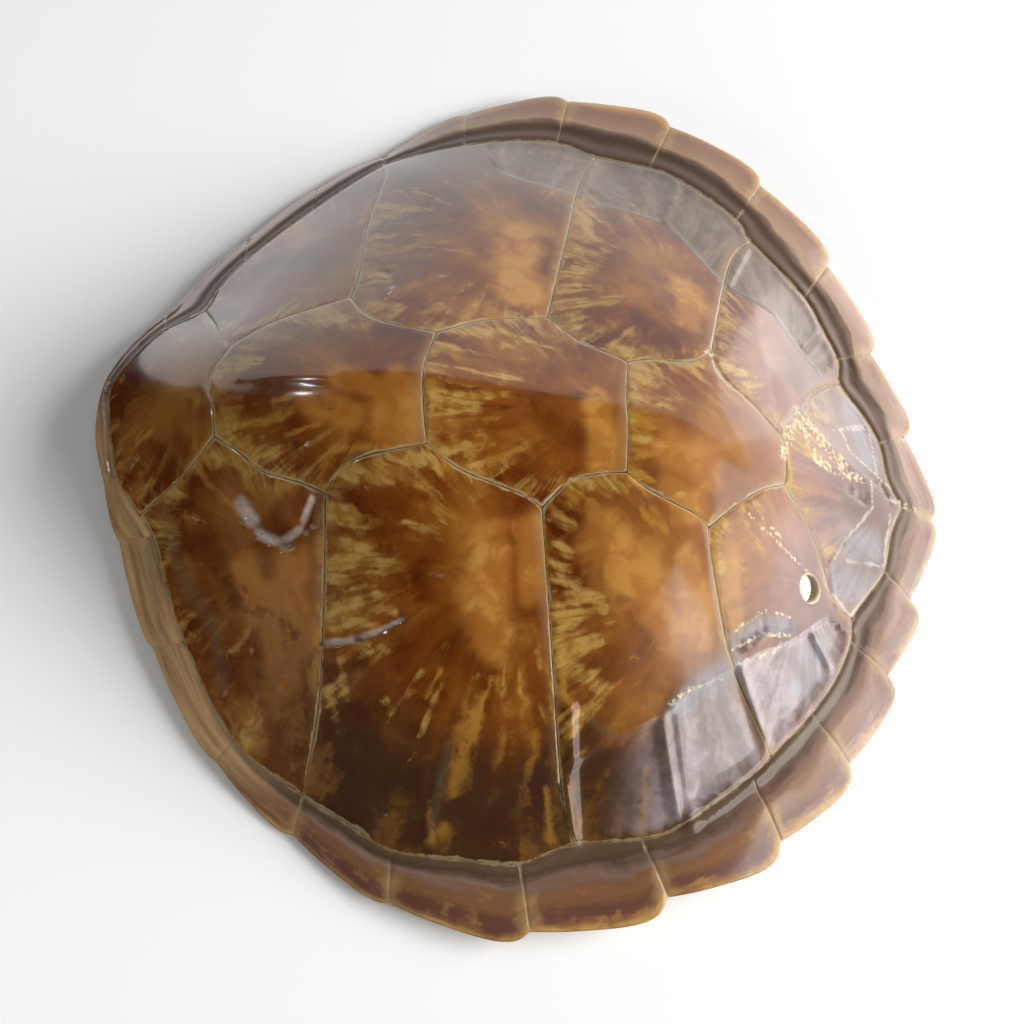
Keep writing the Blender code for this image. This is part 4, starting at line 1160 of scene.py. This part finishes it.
# the far marginals: the dark stops in the hollow beside the gutter are painted shade, and the pale stop on
# the crest is a painted highlight
distant = bench.colours(
    share + sway * 0.3 + speck * 0.1,
    (0.0, (98, 74, 52)), (0.16, (80, 54, 36)), (0.34, (66, 44, 30)), (0.44, (100, 70, 50)),
    (0.5, (156, 122, 90)), (0.62, (142, 102, 72)), (0.8, (126, 82, 58)), (0.9, (160, 108, 58)),
    (1.0, (196, 148, 84)))
spots = (mottle * 0.5 + band * 0.5).ramp(0.53, 0.62) * share.ramp(0.35, 0.5)
# painted shade in the hollow beside the gutter of the far and tail marginals; the same mask thins the coat
# there
groove = (share + far * 0.1 + sway * 0.08).ramp(0.04, 0.12) \
    * (share - far * 0.09 + sway * 0.2).ramp(0.36, 0.24) * far.most(tail) * marginal
tip = (seam + ragged * 9 + speck * 10).ramp(7.0, 0.5) * share.ramp(0.3, 0.6)
# the tail is paler: partly the horn's own tone, partly a painted sheen for the bright reflection over the
# tail
tail_pallor_and_sheen = px.ramp(0.09, 0.19) * (0.6 + sway * 2) * share.ramp(-0.02, 0.2).most(roof_only)
slit = seam.least(gutter)
rind = (slit + ragged * 2.2 + speck * 4 + marginal * 0.35).ramp(1.15, 0.4)
beach = (seam + ragged * 4 + speck * 6).ramp(6.0, 1.5) * behind * roof_only
thread = (slit + ragged * 0.7).ramp(0.27, 0.08) * (1 - marginal * 0.8)
crumb_stroke = at("crumb")
crumb = (crumb_stroke * (0.62 + grit * 3.0 + speck * 2.4)).ramp(0.25, 0.7) + ragged.ramp(0.5, 0.8) * 0.3
chalk = bench.blend((158, 134, 84), (226, 214, 178), (grit + 0.5).ramp(0.42, 0.6))
# pale painted highlights in the dents and the scratch on the near side of the front
painted_glint = at("glint").ramp(0.15, 0.95) * (0.8 + grit * 0.9 + (hair - 0.5) * 0.8)
bands = bench.layers(
    bands,
    ((172, 130, 72), spots * 0.45),
    (distant, far),
    ((200, 162, 112), px.ramp(-0.09, -0.14) * (1 - far) * (0.62 + sway * 2.4)))
horn = bench.layers(
    horn,
    (bands, marginal),
    ((184, 150, 96), tip * marginal * 0.5),
    # paler tail, partly painted sheen
    ((192, 172, 160), tail_pallor_and_sheen * (0.26 + marginal * 0.36)),
    # painted shade in the marginals' hollow
    (bench.blend((84, 62, 48), (76, 52, 34), far), groove * (0.74 - tail * 0.5)),
    ((172, 150, 110), rind * (0.66 - marginal * 0.2)),
    ((164, 128, 88), beach * 0.45),
    ((56, 42, 30), thread * 0.85),
    (chalk, crumb.least(1.0) * 0.7),
    ((228, 216, 206), painted_glint.least(1.0) * 0.62))
print("horn finished with", len(finish.node_tree.nodes), "nodes")

# %% [markdown]
# Below is bone: pale, porous and a little darker along the sutures. A clear varnish lies over the
# horn alone, as a coat, and fine growth marks and the crinkled dents are left to a bump.

# %% Bone, varnish and the surface
grain = bench.noise(place, 140.0, 6.0, 0.65)
pores = bench.noise(place, 900.0, 2.0, 0.7)
raised = at("rib").bell(8.0).most((py * 1000).bell(12.0))
bone = bench.colours(
    grain * 0.5 + cloud * 0.3 + raised * 0.14 + 0.06 + (pores - 0.5) * 0.06,
    (0.3, (150, 118, 76)), (0.45, (192, 164, 118)), (0.6, (216, 196, 156)), (0.75, (230, 216, 186)))
suture = (slit.least(at("rib").bell(1.0) * -8 + 8) + ragged * 2).ramp(1.0, 0.2)
horned = 1 - at("under").ramp(0.45, 0.62)
colour = bench.layers(
    bone,
    ((120, 90, 56), suture * 0.6),
    (horn, horned),
    ((226, 206, 172), at("drilled").ramp(7.2, 6.3)))      # the wall of the hole is bare bone, painted paler as painted light on a wall that lies in shade
folds = (at("swell").ramp(-0.12, -0.6) + crumb_stroke).least(1.0)
varnish = 0.2 + hair * 0.08 + crumb * 0.3 + marginal * 0.14 + chalky * 0.1 - folds * 0.07
rough = bench.node("ShaderNodeMix", {"data_type": "FLOAT"}, {0: horned, 2: 0.62 + pores * 0.2, 3: varnish})
crinkle = bench.noise(place, 520.0, 1.0, 0.5, 1.5) * folds * 1.4
skin = mottle * 0.5 + hair * 0.25 * away + fine * 0.4 * away + crinkle + crumb * 0.3
height = skin * horned + (1 - horned) * (grain * 1.5 + pores)
bumped = bench.node("ShaderNodeBump", None, {"Strength": 0.35, "Distance": 0.0006, "Height": height})
surface = bench.node("ShaderNodeBsdfPrincipled", None, {
    "Base Color": colour, "Roughness": rough, "Normal": bumped, "Specular IOR Level": 0.3,
    "Coat Weight": horned * (1 - groove * 0.7), "Coat Roughness": 0.12, "Coat IOR": 1.5})
bench.node("ShaderNodeOutputMaterial", None, {"Surface": surface})
print("finish of", len(finish.node_tree.nodes), "nodes")

# %% Carve the relief and keep the result as a plain mesh
carve = shell.modifiers.new("relief", "NODES")
carve.node_group = relief_tree()
for item in carve.node_group.interface.items_tree:
    if item.in_out == "INPUT" and item.name != "Geometry":
        carve[item.identifier] = finish if item.name == "Finish" else RELIEF[item.name]
seen = shell.evaluated_get(bpy.context.evaluated_depsgraph_get())
carved = bpy.data.meshes.new_from_object(seen)
shell.modifiers.remove(carve)
shell.data = carved
bpy.data.meshes.remove(mesh)
print("carved:", len(carved.vertices), "points,", [round(v * 1000, 1) for v in shell.dimensions], "mm")

# %% [markdown]
# ## Studio
# A white sheet lies on the ground. Three soft lights shade the horn without showing in it, and
# five others show only as sheen: the milky window over the far side, two bright panes over the
# tail, one on the near flank and a thin lamp near the head.

# %% Floor, lights and camera
LIGHTS = {   # where it hangs, where it looks, its two sides, its power
    "key": ((3.2, 0.15, 1.75), (0.0, 0.0, 0.03), (3.0, 1.8), 232.0),
    "front": ((-1.25, -1.1, 0.62), (0.0, 0.0, 0.03), (1.0, 0.6), 7.0),
    "fill": ((0.0, 0.0, 2.2), (0.0, 0.0, 0.0), (2.0, 2.0), 3.5),
    "window": ((-0.15, 2.036, -0.517), (-0.15, 0.616, -1.452), (6.3, 4.4), 86.0),
    "rear": ((1.2, 0.68, -0.1), (0.0, 0.68, -0.1), (1.05, 0.95), 4.2),
    "side": ((1.2, -0.62, 0.15), (0.0, -0.62, 0.15), (1.55, 1.15), 11.5),
    "flank": ((1.2, -0.95, 0.62), (0.0, -0.95, 0.62), (0.95, 0.95), 9.0),
    "lamp": ((-1.02, 0.14, 1.0), (-0.1, 0.0, 0.06), (0.025, 0.1), 0.9),
}
SHADING = ("key", "front", "fill")
ROOM_LIGHT = 0.12
LENS_MM = 38.28
CAMERA_AT = (-0.07017, -0.18532, 0.49484)
CAMERA_RIGHT, CAMERA_DOWN = Vector((0.98856, 0.05861, 0.13897)), Vector((0.09868, -0.94817, -0.30206))


def make_floor():
    """White paper with a painted glow where the drilled hole lets the eye through."""
    bpy.ops.mesh.primitive_plane_add(size=8.0, location=(0, 0, -0.0005))
    floor = bpy.context.object
    floor.name = "floor"
    floor.data.transform(floor.matrix_world)
    floor.matrix_world.identity()
    floor.visible_glossy = False         # so that the white floor doesn't cloud the steep flanks
    paper = bpy.data.materials.new("white_paper")
    paper.use_nodes = True
    surface = paper.node_tree.nodes["Principled BSDF"]
    surface.inputs["Base Color"].default_value = (0.98, 0.98, 0.98, 1.0)
    surface.inputs["Roughness"].default_value = 0.9
    bench = Bench(paper.node_tree)
    # a painted glow in the paper under the drilled hole
    where = bench.node("ShaderNodeTexCoord", None, None, 3)
    foot = ((HOLE_AT[0] + PLAN_TO_CENTRE[0]) * MM, (HOLE_AT[1] + PLAN_TO_CENTRE[1] + 8.0) * MM, 0.0)
    reach = bench.vector("DISTANCE", where, foot, out=1)
    lit = bench.blend((0, 0, 0), (255, 255, 255), reach.ramp(0.035, 0.028))
    paper.node_tree.links.new(lit.socket, surface.inputs["Emission Color"])
    surface.inputs["Emission Strength"].default_value = 1.0
    floor.data.materials.append(paper)
    return floor


def make_light(name, at, to, size, power):
    data = bpy.data.lights.new(name, "AREA")
    data.shape = "RECTANGLE"
    data.size, data.size_y = size
    data.energy = power
    light = bpy.data.objects.new(name, data)
    light.location = at
    light.rotation_euler = (Vector(to) - Vector(at)).to_track_quat("-Z", "Y").to_euler()
    light.visible_glossy, light.visible_diffuse = name not in SHADING, name in SHADING
    bpy.context.scene.collection.objects.link(light)


def make_camera():
    data = bpy.data.cameras.new("camera")
    data.sensor_width = 36.0
    data.lens = LENS_MM
    camera = bpy.data.objects.new("camera", data)
    ahead = CAMERA_RIGHT.cross(CAMERA_DOWN)
    turned = camera.matrix_world.to_3x3()
    for column, axis in enumerate((CAMERA_RIGHT, -CAMERA_DOWN, -ahead)):
        turned.col[column] = axis.normalized()
    camera.matrix_world = turned.to_4x4()
    camera.location = CAMERA_AT
    bpy.context.scene.collection.objects.link(camera)
    bpy.context.scene.camera = camera


floor = make_floor()
for name, (at, to, size, power) in LIGHTS.items():
    make_light(name, at, to, size, power)
world = bpy.data.worlds.new("room")
world.use_nodes = True
background = world.node_tree.nodes["Background"].inputs
background["Color"].default_value, background["Strength"].default_value = (1.0, 1.0, 1.0, 1.0), ROOM_LIGHT
world.cycles_visibility.glossy = False
bpy.context.scene.world = world
bpy.context.scene.view_settings.view_transform = "Standard"
make_camera()
print("stage set with", len(LIGHTS), "lights")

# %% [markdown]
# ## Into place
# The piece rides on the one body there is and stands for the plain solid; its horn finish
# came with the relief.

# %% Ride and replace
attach(shell, "root")
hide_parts("carapace")
